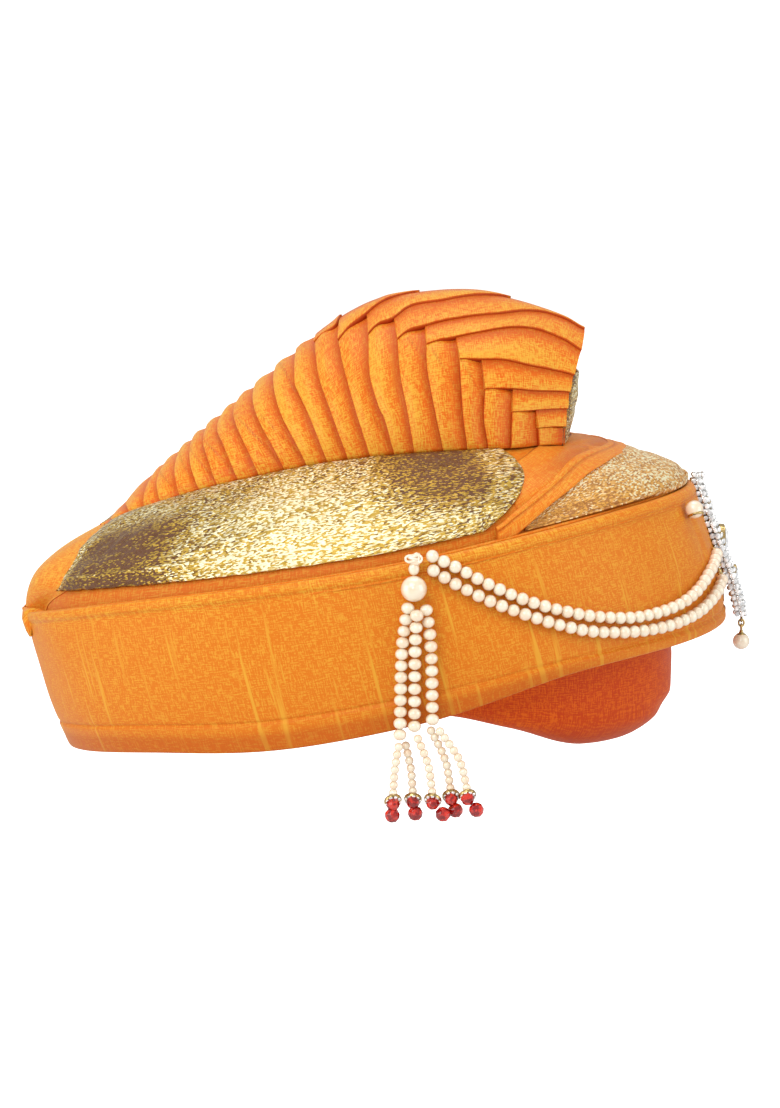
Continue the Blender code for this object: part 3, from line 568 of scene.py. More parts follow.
@dataclass(frozen=True)
class Silk(Finish):
    """Slubbed silk shot with a second colour, made paler by a painted highlight on raised folds and deep red by
    painted shade in the grooves.
    """

    # Second colour: the silk's shot tone, and also the paler painted sheen on raised folds.
    shot_and_painted_sheen: Colour = (0.80, 0.42, 0.05)
    # Deep red painted shade for creases, hollows and undersides.
    painted_shade_colour: Colour = (0.36, 0.030, 0.003)
    slubs: float = 0.5
    gloss: float = 0.46
    relief: float = 0.35
    # How strongly the crown mask paints highlight.
    painted_highlight_share: float = 0.5

    def build(self) -> bpy.types.Material:
        """Build the material: the crown mask, scaled by the tone, mixes in the second colour as painted highlight;
        the weave and the slubs mix it in too, and the shade mask mixes in the deep red painted shade.
        """
        material, wiring, shader = self.start()
        place, crown, painted_shade = wiring.on_cloth()
        group = {"node_tree": silk_weave()}
        weave = wiring.add("ShaderNodeGroup", group, Place=place, Slubs=self.slubs).outputs
        tone = wiring.step(weave["Tone"], 0.34, 0.66)
        thread = wiring.step(weave["Weave"], 0.40, 0.60)
        # The crown mask raises the share of the second colour: painted highlight on raised cloth.
        share = wiring.times(wiring.plus(wiring.times(tone, 0.5), 0.5), wiring.times(crown, self.painted_highlight_share))
        share = wiring.plus(share, wiring.calc("SUBTRACT", thread, 0.5))
        share = wiring.calc("MAXIMUM", share, wiring.times(weave["Slub"], 0.9))
        share = wiring.calc("MINIMUM", wiring.calc("MAXIMUM", share, 0.0), 1.0)
        rough = wiring.plus(wiring.times(weave["Weave"], 0.16), self.gloss - 0.08)
        # Where the shade mask is high, the deep red painted shade covers the rest.
        colour = wiring.blend(painted_shade, wiring.blend(share, self.colour, self.shot_and_painted_sheen), self.painted_shade_colour)
        wiring.feed(shader, Base_Color=colour, Roughness=rough,
                    Normal=wiring.bump(weave["Height"], self.relief, 0.0003), Sheen_Weight=0.05,
                    Sheen_Roughness=0.45, Sheen_Tint=(1.0, 0.72, 0.35, 1.0), Specular_IOR_Level=0.14)
        return material


@dataclass(frozen=True)
class Tissue(Finish):
    """Metallic gold tissue: stitches from dark brown through gold to near white by a painted glint, lighter where
    highlight is painted and darker where shade is painted.
    """

    # Colour of the dullest stitches, where the painted glint is low and painted shade falls.
    dark: Colour = (0.13, 0.045, 0.010)
    # Near white of the brightest stitches: a painted highlight.
    pale: Colour = (1.0, 0.93, 0.62)
    gloss: float = 0.34
    # How much the crown mask adds as painted highlight, and how much the shade mask takes away as painted shade.
    painted_highlight_gain: float = 0.20
    painted_shade_loss: float = 0.46

    def build(self) -> bpy.types.Material:
        """Build the material: each stitch takes its colour and lift from the metal thread group. The colour is a
        painted glint, raised by the crown's painted highlight and lowered by the painted shade; the metal share and
        the bump follow the same value.
        """
        material, wiring, shader = self.start()
        place, crown, painted_shade = wiring.on_cloth()
        thread = wiring.add("ShaderNodeGroup", {"node_tree": tissue_glint()}, Place=place).outputs
        # Painted highlight from the crown mask, then painted shade from the shade mask.
        glint = wiring.plus(thread["Glint"], wiring.times(crown, self.painted_highlight_gain))
        glint = wiring.calc("SUBTRACT", glint, wiring.times(painted_shade, self.painted_shade_loss))
        metal = wiring.blend(wiring.step(glint, 0.30, 0.58), self.dark, self.colour)
        wiring.feed(shader, Base_Color=wiring.blend(wiring.step(glint, 0.68, 0.94), metal, self.pale),
                    Metallic=wiring.times(wiring.step(glint, 0.1, 0.5), 0.62),
                    Normal=wiring.bump(thread["Height"], 0.7, 0.0004), Roughness=self.gloss)
        return material


@dataclass(frozen=True)
class Pearl(Finish):
    """Nacre: a cream body with drifts of pink, a clear coat and a darker peach rim that is painted shade and painted
    reflection.
    """

    blush: Colour = (0.88, 0.68, 0.48)
    # Darker peach at the ball's edge: painted shade and painted reflection of the orange cloth.
    rim: Colour = (0.74, 0.46, 0.24)

    def build(self) -> bpy.types.Material:
        """Build the material: drifts of blush, and a darker peach rim painted where the surface turns away from the
        view: painted shade and a painted reflection of the orange cloth.
        """
        material, wiring, shader = self.start()
        place = wiring.place()
        drift = wiring.step(wiring.noise(place, 240.0, 1.0), 0.40, 0.68)
        # Layer Weight's facing paints the darker rim as the surface turns from the view: painted shade and painted
        # reflection.
        facing = wiring.add("ShaderNodeLayerWeight", None, Blend=0.4).outputs["Facing"]
        body = wiring.blend(drift, self.colour, self.blush)
        wiring.feed(shader, Base_Color=wiring.blend(wiring.step(facing, 0.25, 0.95), body, self.rim),
                    Normal=wiring.bump(wiring.noise(place, 2200.0, 1.0), 0.05, 0.0001), Roughness=0.30,
                    Coat_Weight=1.0, Coat_Roughness=0.10, Coat_IOR=1.75, Sheen_Weight=0.25,
                    Sheen_Tint=(1.0, 0.86, 0.78, 1.0))
        return material


@dataclass(frozen=True)
class Metal(Finish):
    """Polished metal, darkened in patches by age."""

    tarnish: Colour = (0.16, 0.10, 0.04)
    gloss: float = 0.22

    def build(self) -> bpy.types.Material:
        """Build the material: noise sets where the metal is tarnished and rougher."""
        material, wiring, shader = self.start()
        wear = wiring.step(wiring.noise(wiring.place(), 900.0, 3.0), 0.46, 0.72)
        wiring.feed(shader, Base_Color=wiring.blend(wear, self.colour, self.tarnish),
                    Roughness=wiring.plus(wiring.times(wear, 0.25), self.gloss), Metallic=1.0)
        return material


@dataclass(frozen=True)
class Stone(Finish):
    """Cut glass with a painted glint: noise patches of a second colour inside that stand in for reflected light."""

    painted_glint: Colour = (1.0, 0.55, 0.50)
    clear: float = 0.35

    def build(self) -> bpy.types.Material:
        """Build the material: noise inside the stone mixes in the painted glint colour."""
        material, wiring, shader = self.start()
        # Noise patches of the second colour are a painted glint: paler fire in the red stones, grey facets in the
        # clear ones.
        spark = wiring.step(wiring.noise(wiring.place(), 480.0, 2.0), 0.44, 0.60)
        wiring.feed(shader, Base_Color=wiring.blend(spark, self.colour, self.painted_glint), Roughness=0.04, IOR=1.62,
                    Transmission_Weight=self.clear, Coat_Weight=0.3)
        return material


@dataclass(frozen=True)
class Palette:
    """All finishes of the turban."""

    band: Silk = Silk("band_silk", "orange_silk", (0.67, 0.175, 0.009), shot_and_painted_sheen=(0.76, 0.41, 0.040), slubs=0.75,
                      painted_highlight_share=0.42)
    deck: Silk = Silk("deck_silk", "orange_silk", (0.70, 0.170, 0.009), shot_and_painted_sheen=(0.76, 0.40, 0.045), slubs=0.3,
                      painted_highlight_share=0.4)
    pleats: Silk = Silk("pleat_silk", "pleated_silk", (0.70, 0.130, 0.007), shot_and_painted_sheen=(0.76, 0.38, 0.040), slubs=0.25,
                        gloss=0.40, painted_highlight_share=0.85)
    # The cap's silk is a deeper red: partly its own colour and partly painted shade, as the cap's padded brow lies
    # in shade below the band.
    brow: Silk = Silk("brow_silk", "deep_silk", (0.52, 0.050, 0.002), shot_and_painted_sheen=(0.72, 0.135, 0.004), slubs=0.3,
                      gloss=0.52, painted_highlight_share=0.5)
    tissue: Tissue = Tissue("metal_tissue", "gold_tissue", (0.60, 0.38, 0.050))
    soft_tissue: Tissue = Tissue("soft_gold_tissue", "gold_tissue", (0.80, 0.42, 0.085), dark=(0.44, 0.17, 0.03),
                                 gloss=0.42)
    pearl: Pearl = Pearl("pearl_nacre", "pearl", (0.88, 0.78, 0.60))
    gilt: Metal = Metal("antique_gilt", "gilt", (0.62, 0.44, 0.18))
    silver: Metal = Metal("rhodium_silver", "silver", (0.86, 0.85, 0.82), tarnish=(0.30, 0.30, 0.31), gloss=0.16)
    red: Stone = Stone("cut_red_glass", "red_crystal", (0.34, 0.001, 0.001), painted_glint=(0.95, 0.040, 0.018))
    clear: Stone = Stone("cut_clear_glass", "clear_stone", (1.0, 1.0, 1.0), painted_glint=(0.62, 0.64, 0.66), clear=0.0)
    thread: Pearl = Pearl("silk_thread", "pearl", (0.98, 0.84, 0.66))


@dataclass(frozen=True)
class BrimForm:
    """The brim band's shape: an oval of half lengths, tilted up to the brow and leaning back as it rises."""

    length: float = 0.275
    width: float = 0.232
    height: float = 0.056
    foot_centre: float = -0.0101
    foot_back: float = -0.005
    rise: float = 0.050
    lean: float = 0.0155
    crown: float = 0.002
    ledge: float = 0.0065
    roll: float = 0.0014
    edges: Curve = Curve(((0, 1.00, 1.00), (35, 0.93, 1.00), (60, 0.80, 0.97), (85, 0.52, 1.02), (110, 0.28, 1.06),
                          (135, 0.17, 1.00), (160, 0.05, 0.955), (180, 0.00, 0.93)))

    @staticmethod
    def turn_of(angle: Array | float) -> Array:
        """Give the size of an angle in degrees, from 0 at the brow to 180 at the back."""
        return np.abs((np.asarray(angle, float) + 180.0) % 360.0 - 180.0)

    def foot(self, angle: Array | float) -> Array:
        """Give the height of the band's lower edge."""
        return self.foot_back + self.rise * self.edges.read(1, self.turn_of(angle))

    def top(self, angle: Array | float) -> Array:
        """Give the height of the band's upper edge."""
        return self.foot(angle) + self.height * self.edges.read(2, self.turn_of(angle))

    def face(self, angle: Array | float, share: Array | float, out: Array | float = 0.0) -> Array:
        """Give points on the band's face.

        The outline at each height is an ellipse. Its centre moves back with height, and the face swells by
        a parabola that is nothing at both edges.

        Args:
            angle: Angles in degrees.
            share: Shares of the band's height.
            out: Steps out from the face.

        Returns:
            Points, with a last axis of three.
        """
        angle, share, out = np.broadcast_arrays(*(np.asarray(part, float) for part in (angle, share, out)))
        turn = np.radians(angle)
        inside = np.clip(share, 0.0, 1.0)
        reach = out + self.crown * 4 * inside * (1 - inside)
        foot, top = self.foot(angle), self.top(angle)
        return np.stack((self.foot_centre - self.lean * share + (self.length / 2 + reach) * np.cos(turn),
                         (self.width / 2 + reach) * np.sin(turn), foot + (top - foot) * share), axis=-1)


@dataclass(frozen=True)
class DeckForm:
    """The domed deck inside the brim."""

    brim: BrimForm = BrimForm()
    rise: float = 0.048
    inset: float = 0.0003
    dome: Curve = Curve(((0, 0.78, 0.60), (60, 0.90, 0.60), (100, 1.00, 0.60), (140, 1.04, 0.52),
                         (180, 0.98, 0.45)))

    def centre(self) -> float:
        """Give the middle of the deck's ring along X."""
        return self.brim.foot_centre - self.brim.lean

    def ring(self, grow: float = 0.0) -> tuple[float, float]:
        """Give the half length and half width of the deck's ring, grown by a step."""
        inset = self.brim.ledge + self.inset
        return self.brim.length / 2 - inset + grow, self.brim.width / 2 - inset + grow

    def plane(self, x: Array | float) -> Array:
        """Give the height at x of the plane through the brow and the back of the band's top."""
        top = self.brim.top(0.0)
        slope = (top - self.brim.top(180.0)) / self.brim.length
        return top + slope * (x - self.centre() - self.brim.length / 2)

    def point(self, angle: Array | float, reach: Array | float, grow: Array | float = 0.0) -> Array:
        """Give points of the deck.

        Over the plane stands a dome whose height is a power of (1 - reach²). The power and the rise change
        with the angle, so that the shoulder is steep at the back and slack at the brow.

        Args:
            angle: Angles in degrees.
            reach: 0 at the middle and 1 at the ring.
            grow: Steps out from the surface.

        Returns:
            Points, with a last axis of three.
        """
        angle, reach, grow = np.broadcast_arrays(*(np.asarray(part, float) for part in (angle, reach, grow)))
        turn = np.radians(angle)
        half_length, half_width = self.ring()
        ring_x = self.centre() + (half_length + grow) * np.cos(turn)
        x = self.centre() + (ring_x - self.centre()) * reach
        share = 1.0 + (self.dome.read(1, self.brim.turn_of(angle)) - 1.0) * reach
        slack = np.maximum(0.0, 1 - reach**2) ** self.dome.read(2, self.brim.turn_of(angle))
        height = self.plane(x) + (self.brim.top(angle) - self.plane(ring_x)) * reach**2
        y = reach * (half_width + grow) * np.sin(turn)
        return np.stack((x, y, height + (self.rise * share + grow) * slack), axis=-1)

    def place(self, x: Array, y: Array) -> tuple[Array, Array]:
        """Give the angle and the reach under points in plan."""
        half_length, half_width = self.ring()
        along, across = (x - self.centre()) / half_length, y / half_width
        return np.degrees(np.arctan2(across, along)), np.hypot(along, across)

    def height(self, x: Array, y: Array) -> Array:
        """Give the deck's height under points in plan."""
        angle, reach = self.place(np.asarray(x, float), np.asarray(y, float))
        return self.point(angle, np.minimum(reach, 1.0))[..., 2]


@dataclass(frozen=True)
class CrestForm:
    """The crest's smooth form, without its pleats."""

    deck: DeckForm = DeckForm()
    tail: float = -0.1335
    length: float = 0.190
    width: float = 0.112
    rise: float = 0.0925
    tail_height: float = 0.0028
    overhang: float = 0.011
    brow_height: float = 0.0455
    foot_gap: float = 0.0006
    plan: Curve = Curve(((0.00, 0.00), (0.05, 0.26), (0.13, 0.57), (0.21, 0.75), (0.32, 0.89), (0.45, 0.95),
                         (0.60, 0.98), (0.70, 1.00), (0.80, 0.97), (0.90, 0.88), (1.00, 0.66), (1.07, 0.58)))
    ridge_line: Curve = Curve(((0.000, 0.000), (0.112, 0.197), (0.288, 0.501), (0.463, 0.803), (0.539, 0.902),
                               (0.615, 0.963), (0.713, 0.993), (0.813, 1.000), (0.919, 0.949), (1.005, 0.884),
                               (1.060, 0.829)))

    def half_width(self, x: Array) -> Array:
        """Give the half width in plan at x."""
        return self.width / 2 * self.plan.read(1, (x - self.tail) / self.length)

    def ridge(self, x: Array) -> Array:
        """Give the height of the ridge at x."""
        start = self.deck.height(self.tail, 0.0) + self.tail_height
        return start + self.rise * self.ridge_line.read(1, (x - self.tail) / self.length)

    def base(self, x: Array) -> Array:
        """Give the height at x at which the wall stands on the deck."""
        return self.deck.height(x, self.half_width(x)) + self.foot_gap

    def brow_edge(self, share: Array | float) -> tuple[Array, Array]:
        """Give x and z on the brow edge, from its foot at 0 to its top at 1."""
        foot = self.tail + self.length
        return foot + self.overhang * np.asarray(share) ** 1.8, self.base(foot) + self.brow_height * share

    def wall(self, x: Array, turn: Array) -> Array:
        """Give points of the wall: at each x half an ellipse of the half width and the height over the base.

        Args:
            x: Places along X.
            turn: Degrees from the near foot, with 90 on the ridge.

        Returns:
            Points, with a last axis of three.
        """
        lift, base = np.radians(turn), self.base(x)
        return np.stack((x, -self.half_width(x) * np.cos(lift), base + (self.ridge(x) - base) * np.sin(lift)),
                        axis=-1)

    def lifted(self, x: Array, turn: Array, out: Array) -> Array:
        """Give points of the wall moved out along its normal, the cross product of its differences.

        Args:
            x: Places along X.
            turn: Turns in degrees.
            out: Steps out.

        Returns:
            Points, with a last axis of three.
        """
        step = 0.0005
        along = self.wall(x + step, turn) - self.wall(x - step, turn)
        around = self.wall(x, turn + 0.5) - self.wall(x, turn - 0.5)
        normal = np.cross(along, around)
        normal /= np.maximum(np.linalg.norm(normal, axis=-1, keepdims=True), 1e-12)
        return self.wall(x, turn) + normal * out[..., None]


@dataclass
class BrimBand:
    """The stiff silk-covered band with its rolled top, stitched seams and turned-under hem."""

    palette: Palette
    form: BrimForm = BrimForm()
    wall: float = 0.0025
    hem_centre: float = 0.001
    hem_half_length: float = 0.1043
    hem_half_width: float = 0.0833
    seam_depth: float = 0.0008
    overlap_angle: float = 16.5
    overlap_step: float = 0.0007
    piping: float = 0.0005
    hem_drop: float = 0.0034
    angles: Array = field(default_factory=lambda: np.linspace(0, 360, 300, endpoint=False))

    def section(self) -> Array:
        """Work out the band's closed section at every angle.

        The face is read at close shares of the height, so that it can hold its seams. The rolled top, the
        ledge and the lining are control points. All corners are then rounded twice by cutting each edge
        at a quarter and three quarters.

        Returns:
            Points by angle and place on the section.
        """
        angle = self.angles[:, None]
        height = (self.form.top(self.angles) - self.form.foot(self.angles))[:, None]
        shares = np.concatenate((np.linspace(0.05, 0.22, 14), np.linspace(0.25, 0.90, 26)))[None, :]
        face = self.form.face(angle, shares, self.face_relief(angle, shares))
        ledge, roll, wall = self.form.ledge, self.form.roll, self.wall

        def at(out: float, lift: float, top: bool = False) -> Array:
            """Give one control point at a step out from the face and a lift from the foot or the top."""
            share = (lift + (height if top else 0.0)) / height
            return self.form.face(angle, share, out)

        def hem(lift: float) -> Array:
            """Give the hem's inner edge, which follows the cap's oval, at a lift from the foot."""
            turn = np.radians(angle)
            return np.stack((self.hem_centre + self.hem_half_length * np.cos(turn),
                             self.hem_half_width * np.sin(turn), self.form.foot(angle) + lift), axis=-1)

        drop = self.hem_drop * (0.12 + 0.88 * ease(55, 90, self.form.turn_of(angle)))
        low = [hem(0.0), at(-0.0040, -0.5 * drop), at(-0.0010, -drop), at(0.0, 0.0008 - drop)]
        high = [at(0.0002, -0.0042, True), at(roll * 0.9, -0.0032, True), at(roll, -0.0018, True),
                at(roll * 0.7, -0.0002, True), at(-0.0008, 0.0005, True), at(-0.0026, -0.0004, True),
                at(-0.0040, -0.0008, True), at(-ledge, -0.0008, True), at(-ledge, -0.0008 - wall, True),
                at(-wall - 0.0010, -0.0030 - wall, True), at(-wall - 0.0006, wall + 0.0010), hem(wall)]
        ring = np.concatenate([*low, face, *high], axis=1)
        for _ in range(2):
            after = np.roll(ring, -1, axis=1)
            ring = np.stack((0.75 * ring + 0.25 * after, 0.25 * ring + 0.75 * after), axis=2)
            ring = ring.reshape(len(self.angles), -1, 3)
        return ring

    def face_relief(self, angle: Array, share: Array) -> Array:
        """Give the steps out from the face: overlapped cloth at the brow, a hem line and slack ripples."""
        turn = self.form.turn_of(angle)
        lapped = 1 - ease(self.overlap_angle - 0.8, self.overlap_angle, turn)
        step = self.overlap_step * lapped * ease(0.05, 0.2, share)
        line = 0.085 + 0.055 * ease(40, 100, turn)
        hem = -self.seam_depth * np.exp(-((share - line) / 0.009) ** 2)
        hem = hem + 0.0004 * ease(line, line - 0.03, share)
        slack = 0.00035 * ripples(angle / 26, share * 1.3, 3)
        return step + hem + slack

    def masks(self, ring: Array) -> dict[str, Array]:
        """Give the crown mask, a painted highlight on the rolled top, and the painted shade mask of the hem, the
        lower face and the ledge.
        """
        foot, top = self.form.foot(self.angles)[:, None], self.form.top(self.angles)[:, None]
        share = (ring[..., 2] - foot) / (top - foot)
        turn = self.form.turn_of(self.angles)[:, None]
        centre = self.form.foot_centre - self.form.lean * share
        reach = np.hypot((ring[..., 0] - centre) / (self.form.length / 2),
                         ring[..., 1] / (self.form.width / 2))
        outer = ease(0.955, 0.985, reach)
        # Painted highlight: faint on the whole outer face, strong on the rolled top away from the brow.
        crown = outer * (0.25 + 0.75 * ease(0.86, 0.93, share) * ease(30, 60, turn)) * ease(0.05, 0.3, share)
        crown *= 0.75 + 0.25 * ripples(turn / 22, share, 8)
        # Painted shade: darker towards the band's foot where the hem turns under, from the sides back, a little on
        # the whole lower half, and on the inner side.
        hem = ease(0.10, 0.03, share) * 0.35 * ease(40, 70, turn) + ease(0.5, 0.0, share) * 0.10
        inner = (1 - outer) * 0.12
        return {"crown": np.clip(crown, 0, 1), "painted_shade": np.clip(np.maximum(hem * outer, inner), 0, 1)}

    def seams(self) -> Array:
        """Give the centre lines of the two stitched pipings on the ledge."""
        lines = [self.form.face(self.angles, 1.0, -out) + (0, 0, 0.0002) for out in (0.0031, 0.0046)]
        return np.stack(lines)

    def build(self) -> None:
        """Make the band and its piping."""
        ring = self.section()
        band = Heap()
        surface = Surface(ring.transpose(1, 0, 2), {name: mask.T for name, mask in self.masks(ring).items()},
                          close_rows=True, close_columns=True).facing((0, 0, 0.03))
        band.add_surface(surface)
        piece = band.piece("band_cloth", smooth=60)
        dress(piece, self.palette.band, ("brim_band",))
        0.5 * surface.area()
        piping = Heap()
        turns = circle(8)
        turn = self.form.turn_of(self.angles)
        under = self.form.face(self.angles, 0.925 - 0.008 * ease(40, 90, turn),
                               0.0002 - 0.0006 * ease(85, 105, turn))
        for line in (*self.seams(), under):
            out = line - line.mean(axis=0)
            out[:, 2] = 0.0
            out /= np.linalg.norm(out, axis=1, keepdims=True)
            pipe = line[:, None] + self.piping * (out[:, None] * np.cos(turns)[:, None]
                                                  + UP * np.sin(turns)[:, None])
            # An even painted highlight (crown 0.3) makes the raised piping paler.
            masks = {"crown": np.full(pipe.shape[:2], 0.3)}
            piping.add_surface(Surface(pipe, masks, True, True).facing((0, 0, 0)))
        dress(piping.piece("band_piping"), self.palette.deck)


@dataclass
class HeadCap:
    """The hollow cap whose padded brow shows below the brim."""

    palette: Palette
    brim: BrimForm = BrimForm()
    half_length: float = 0.104
    half_width: float = 0.083
    centre: float = 0.001
    shoulder: float = 0.056
    top: float = 0.100
    wall: float = 0.0025
    brow_roll: float = 0.015
    brow_sag: float = 0.0030
    rim: Curve = Curve(((0, 0.17, 1.00), (45, 0.13, 1.00), (70, 0.28, 0.55), (88, 0.40, 0.22), (110, 0.22, 0.16),
                        (135, 0.12, 0.16), (160, 0.00, 0.16), (180, -0.05, 0.16)))

    def shell(self, inset: float) -> Array:
        """Work out the outer or inner side of the cap, from its rim to its crown.

        The rim rolls under along a quarter ellipse, the wall rises straight to the shoulder, and the dome
        closes along a second quarter ellipse.

        Args:
            inset: Step in from the outer side.

        Returns:
            Points by row from the rim and by angle.
        """
        angles = np.linspace(0, 360, 180, endpoint=False)
        turn = self.brim.turn_of(angles)
        rim = self.brim.foot_back + self.brim.rise * self.rim.read(1, turn)
        roll = self.brow_roll * self.rim.read(2, turn)
        around = np.radians(angles)
        rows = []
        for lean in np.radians(np.linspace(0, 90, 14)):
            rows.append((roll * (1 - math.sin(lean)) + inset, rim + roll * (1 - math.cos(lean)), 1.0))
        for part in np.linspace(0, 1, 8)[1:]:
            rows.append((np.full_like(roll, inset), rim + roll + (self.shoulder - rim - roll) * part, 1.0))
        for climb in np.radians(np.linspace(0, 90, 16)[1:]):
            height = self.shoulder + (self.top - inset - self.shoulder) * math.sin(climb)
            rows.append((np.full_like(roll, inset), np.full_like(roll, height), math.cos(climb)))
        grid = []
        sag = self.brow_sag * ease(75, 45, turn) * (0.1 + 0.9 * ease(5, 32, turn))
        for number, (step, height, size) in enumerate(rows):
            height = height - sag * ease(0.030, 0.008, height - rim)
            crease = 0.0 if inset else 0.0007 * ease(60, 20, turn) * ease(1, 8, np.array(float(number)))
            swell = crease * ripples(angles / 30, height / 0.012, 5) * ease(0.05, 0.03, height)
            grid.append(np.stack((self.centre + (self.half_length - step + swell) * size * np.cos(around),
                                  (self.half_width - step + swell) * size * np.sin(around), height), axis=-1))
        return np.array(grid)

    def build(self) -> None:
        """Make the cap as one closed shell."""
        outer, inner = self.shell(0.0), self.shell(self.wall)
        rings = np.concatenate((outer[::-1], inner))
        crown = np.zeros(rings.shape[:2])
        height = rings[..., 2]
        # Painted highlight on the outer side, paler with height.
        crown[: len(outer)] = 0.35 + 0.5 * ease(0.004, 0.016, height[: len(outer)])
        crown *= 0.8 + 0.2 * ripples(height / 0.02, rings[..., 0] / 0.05, 9)
        # Painted shade: dark at the foot under the rolled rim and high up where the cap lies under the band.
        painted_shade = 0.55 * ease(0.012, 0.0, height) + 0.35 * ease(0.028, 0.038, height)
        masks = {"crown": np.clip(crown, 0, 1), "painted_shade": np.clip(painted_shade, 0, 1)}
        surface = Surface(rings, masks, close_columns=True).facing((0, 0, 0.05))
        piece = sew("cap_cloth", surface, 70, self.palette.brow, ("head_cap",), weld=True)


@dataclass
class DeckCloths:
    """The orange cloths on top: the deck, the back wrap, the apron at the crest's brow and the strap."""

    palette: Palette
    form: DeckForm = DeckForm()
    rest: float = 0.0008
    strap_edges: Curve = Curve(((0, 0.785, 0.850), (22, 0.787, 0.856), (33, 0.800, 0.880), (40, 0.828, 0.902),
                                (46, 0.866, 0.932), (53, 0.914, 0.964), (58, 0.945, 0.988), (61, 0.962, 0.998),
                                (66, 0.986, 1.006)))

    def deck(self) -> None:
        """Make the deck: the dome with soft ripples that run to the crest's foot."""
        angles = np.linspace(0, 360, 240, endpoint=False)[None, :]
        reaches = np.sin(np.linspace(0.0, math.pi / 2, 44))[:, None]
        slack = 0.0005 * ripples(angles / 20, reaches * 2, 12)
        slack = slack * ease(1.0, 0.9, reaches) * ease(0.1, 0.4, reaches)
        points = self.form.point(angles, reaches, slack)
        skirt = np.repeat(points[-1:], 3, axis=0)
        skirt[..., 2] -= 0.002 * np.array((0.3, 0.7, 1))[:, None]
        # Crown mask (painted highlight): 0.35 with soft random ripples.
        crown = 0.35 + 0.3 * ripples(angles / 30, reaches * 3, 4)
        # Painted shade at the deck's rim, where it meets the band's top.
        painted_shade = 0.15 * ease(0.965, 0.995, reaches) + 0.0 * angles
        masks = {"crown": np.clip(np.vstack((crown, np.repeat(crown[-1:], 3, axis=0))), 0, 1),
                 "painted_shade": np.vstack((painted_shade, np.repeat(painted_shade[-1:], 3, axis=0)))}
        surface = Surface(np.vstack((points, skirt)), masks, close_columns=True).facing((0, 0, 0.03))
        piece = sew("deck_cloth", surface, 80, self.palette.deck, ("deck",), 0.0018, weld=True)
        surface.area()

    def wrap(self) -> None:
        """Make the folded wrap at the back.

        It leaves the deck at its upper edge, swells out to the band's face and ends on the band's top. Its
        two side edges are folds.
        """
        across = np.linspace(-1, 1, 97)[None, :]
        down = np.linspace(0, 1, 42)[:, None]
        middle = ease(0.95, 0.30, np.abs(across))
        angle = 180 + across * (17.0 + 14.0 * down - 19.0 * ease(0.70, 1.0, down))
        edge = fold_edge((1 - np.abs(across)) * 20, 0.9)
        swell = 0.0003 + middle * (0.0012 + 0.0062 * ease(0.0, 0.70, down))
        crease = 0.0004 * ripples(across * 0.9, down * 1.1, 21) * middle
        points = self.form.point(angle, 0.80 + 0.20 * np.sin(down * math.pi / 2), swell + crease)
        over = self.form.brim.face(angle[-1:], 0.985, self.form.brim.roll + 0.0010) + (0, 0, 0.0012)
        share = ease(0, 1, np.linspace(0.1, 1.0, 10))[:, None, None]
        share = share * ease(1.0, 0.80, np.abs(across))[..., None]
        arch = 0.0018 * np.sin(math.pi * share)
        rim = points[-1:] + (over - points[-1:]) * share + arch * UP
        points, down = np.concatenate((points, rim)), np.vstack((down, np.ones((10, 1))))
        falls = np.array(((0.95, 0.0030), (0.90, 0.0027), (0.85, 0.0022), (0.81, 0.0014)))[:, :, None]
        hang = self.form.brim.face(angle[-1:], falls[:, 0], falls[:, 1])
        hem = points[-1:] + (hang - points[-1:]) * ease(1.0, 0.85, np.abs(across))[..., None]
        # Painted highlight over the wrap, strongest near its top and falling off at the folded side edges.
        crown = 1.9 * edge * (0.65 + 0.35 * ease(1.0, 0.4, down)) + 0.3 * ripples(across, down, 2)
        crown = np.clip(crown, 0, 2.2)
        # Painted shade in the folded side edges.
        painted_shade = 0.8 * (1 - edge) + 0.0 * down
        masks = {name: np.vstack((mask, *[mask[-1:]] * len(hem)))
                 for name, mask in (("crown", crown), ("painted_shade", painted_shade))}
        surface = Surface(np.vstack((points, hem)), masks).facing((-0.05, 0, 0.03))
        piece = sew("wrap_cloth", surface, 70, self.palette.deck, ("back_wrap",), 0.0012)
        surface.area()

    def apron(self) -> None:
        """Make the cloth that laps over the crest's foot beside the strap, with a turned upper edge."""
        angle = np.linspace(-60, 60, 150)[None, :]
        turn = self.form.brim.turn_of(angle)
        across = np.linspace(0, 1, 26)[:, None]
        upper = 0.775 - 0.105 * ease(59, 30, turn)
        lower = self.strap_edges.read(1, turn) + 0.02
        lip = fold_edge(across, 0.08)
        slack = 0.0006 * ripples(angle / 22, across * 2.2, 30) * ease(0.0, 0.3, across)
        rise = 0.0001 + 0.0017 * ease(28, 46, turn) * ease(60, 52, turn)
        points = self.form.point(angle, upper + (lower - upper) * across, 0.0004 + lip * rise + 0.6 * slack)
        # Painted highlight on the turned upper edge, and a little all over with random ripples.
        crown = 0.8 * lip * ease(0.35, 0.05, across) + 0.25 + 0.3 * ripples(angle / 18, across * 2, 31)
        crown = np.clip(crown, 0, 1)
        # Painted shade along the turned edge, and on the lower part near the strap towards the brow.
        painted_shade = np.clip(0.75 * (1 - lip) + 0.35 * ease(0.3, 0.8, across) * ease(55, 40, turn), 0, 1)
        surface = Surface(points, {"crown": crown, "painted_shade": painted_shade}).facing((0, 0, 0.03))
        piece = sew("apron_cloth", surface, 70, self.palette.deck, wall=0.0005)
        surface.area()

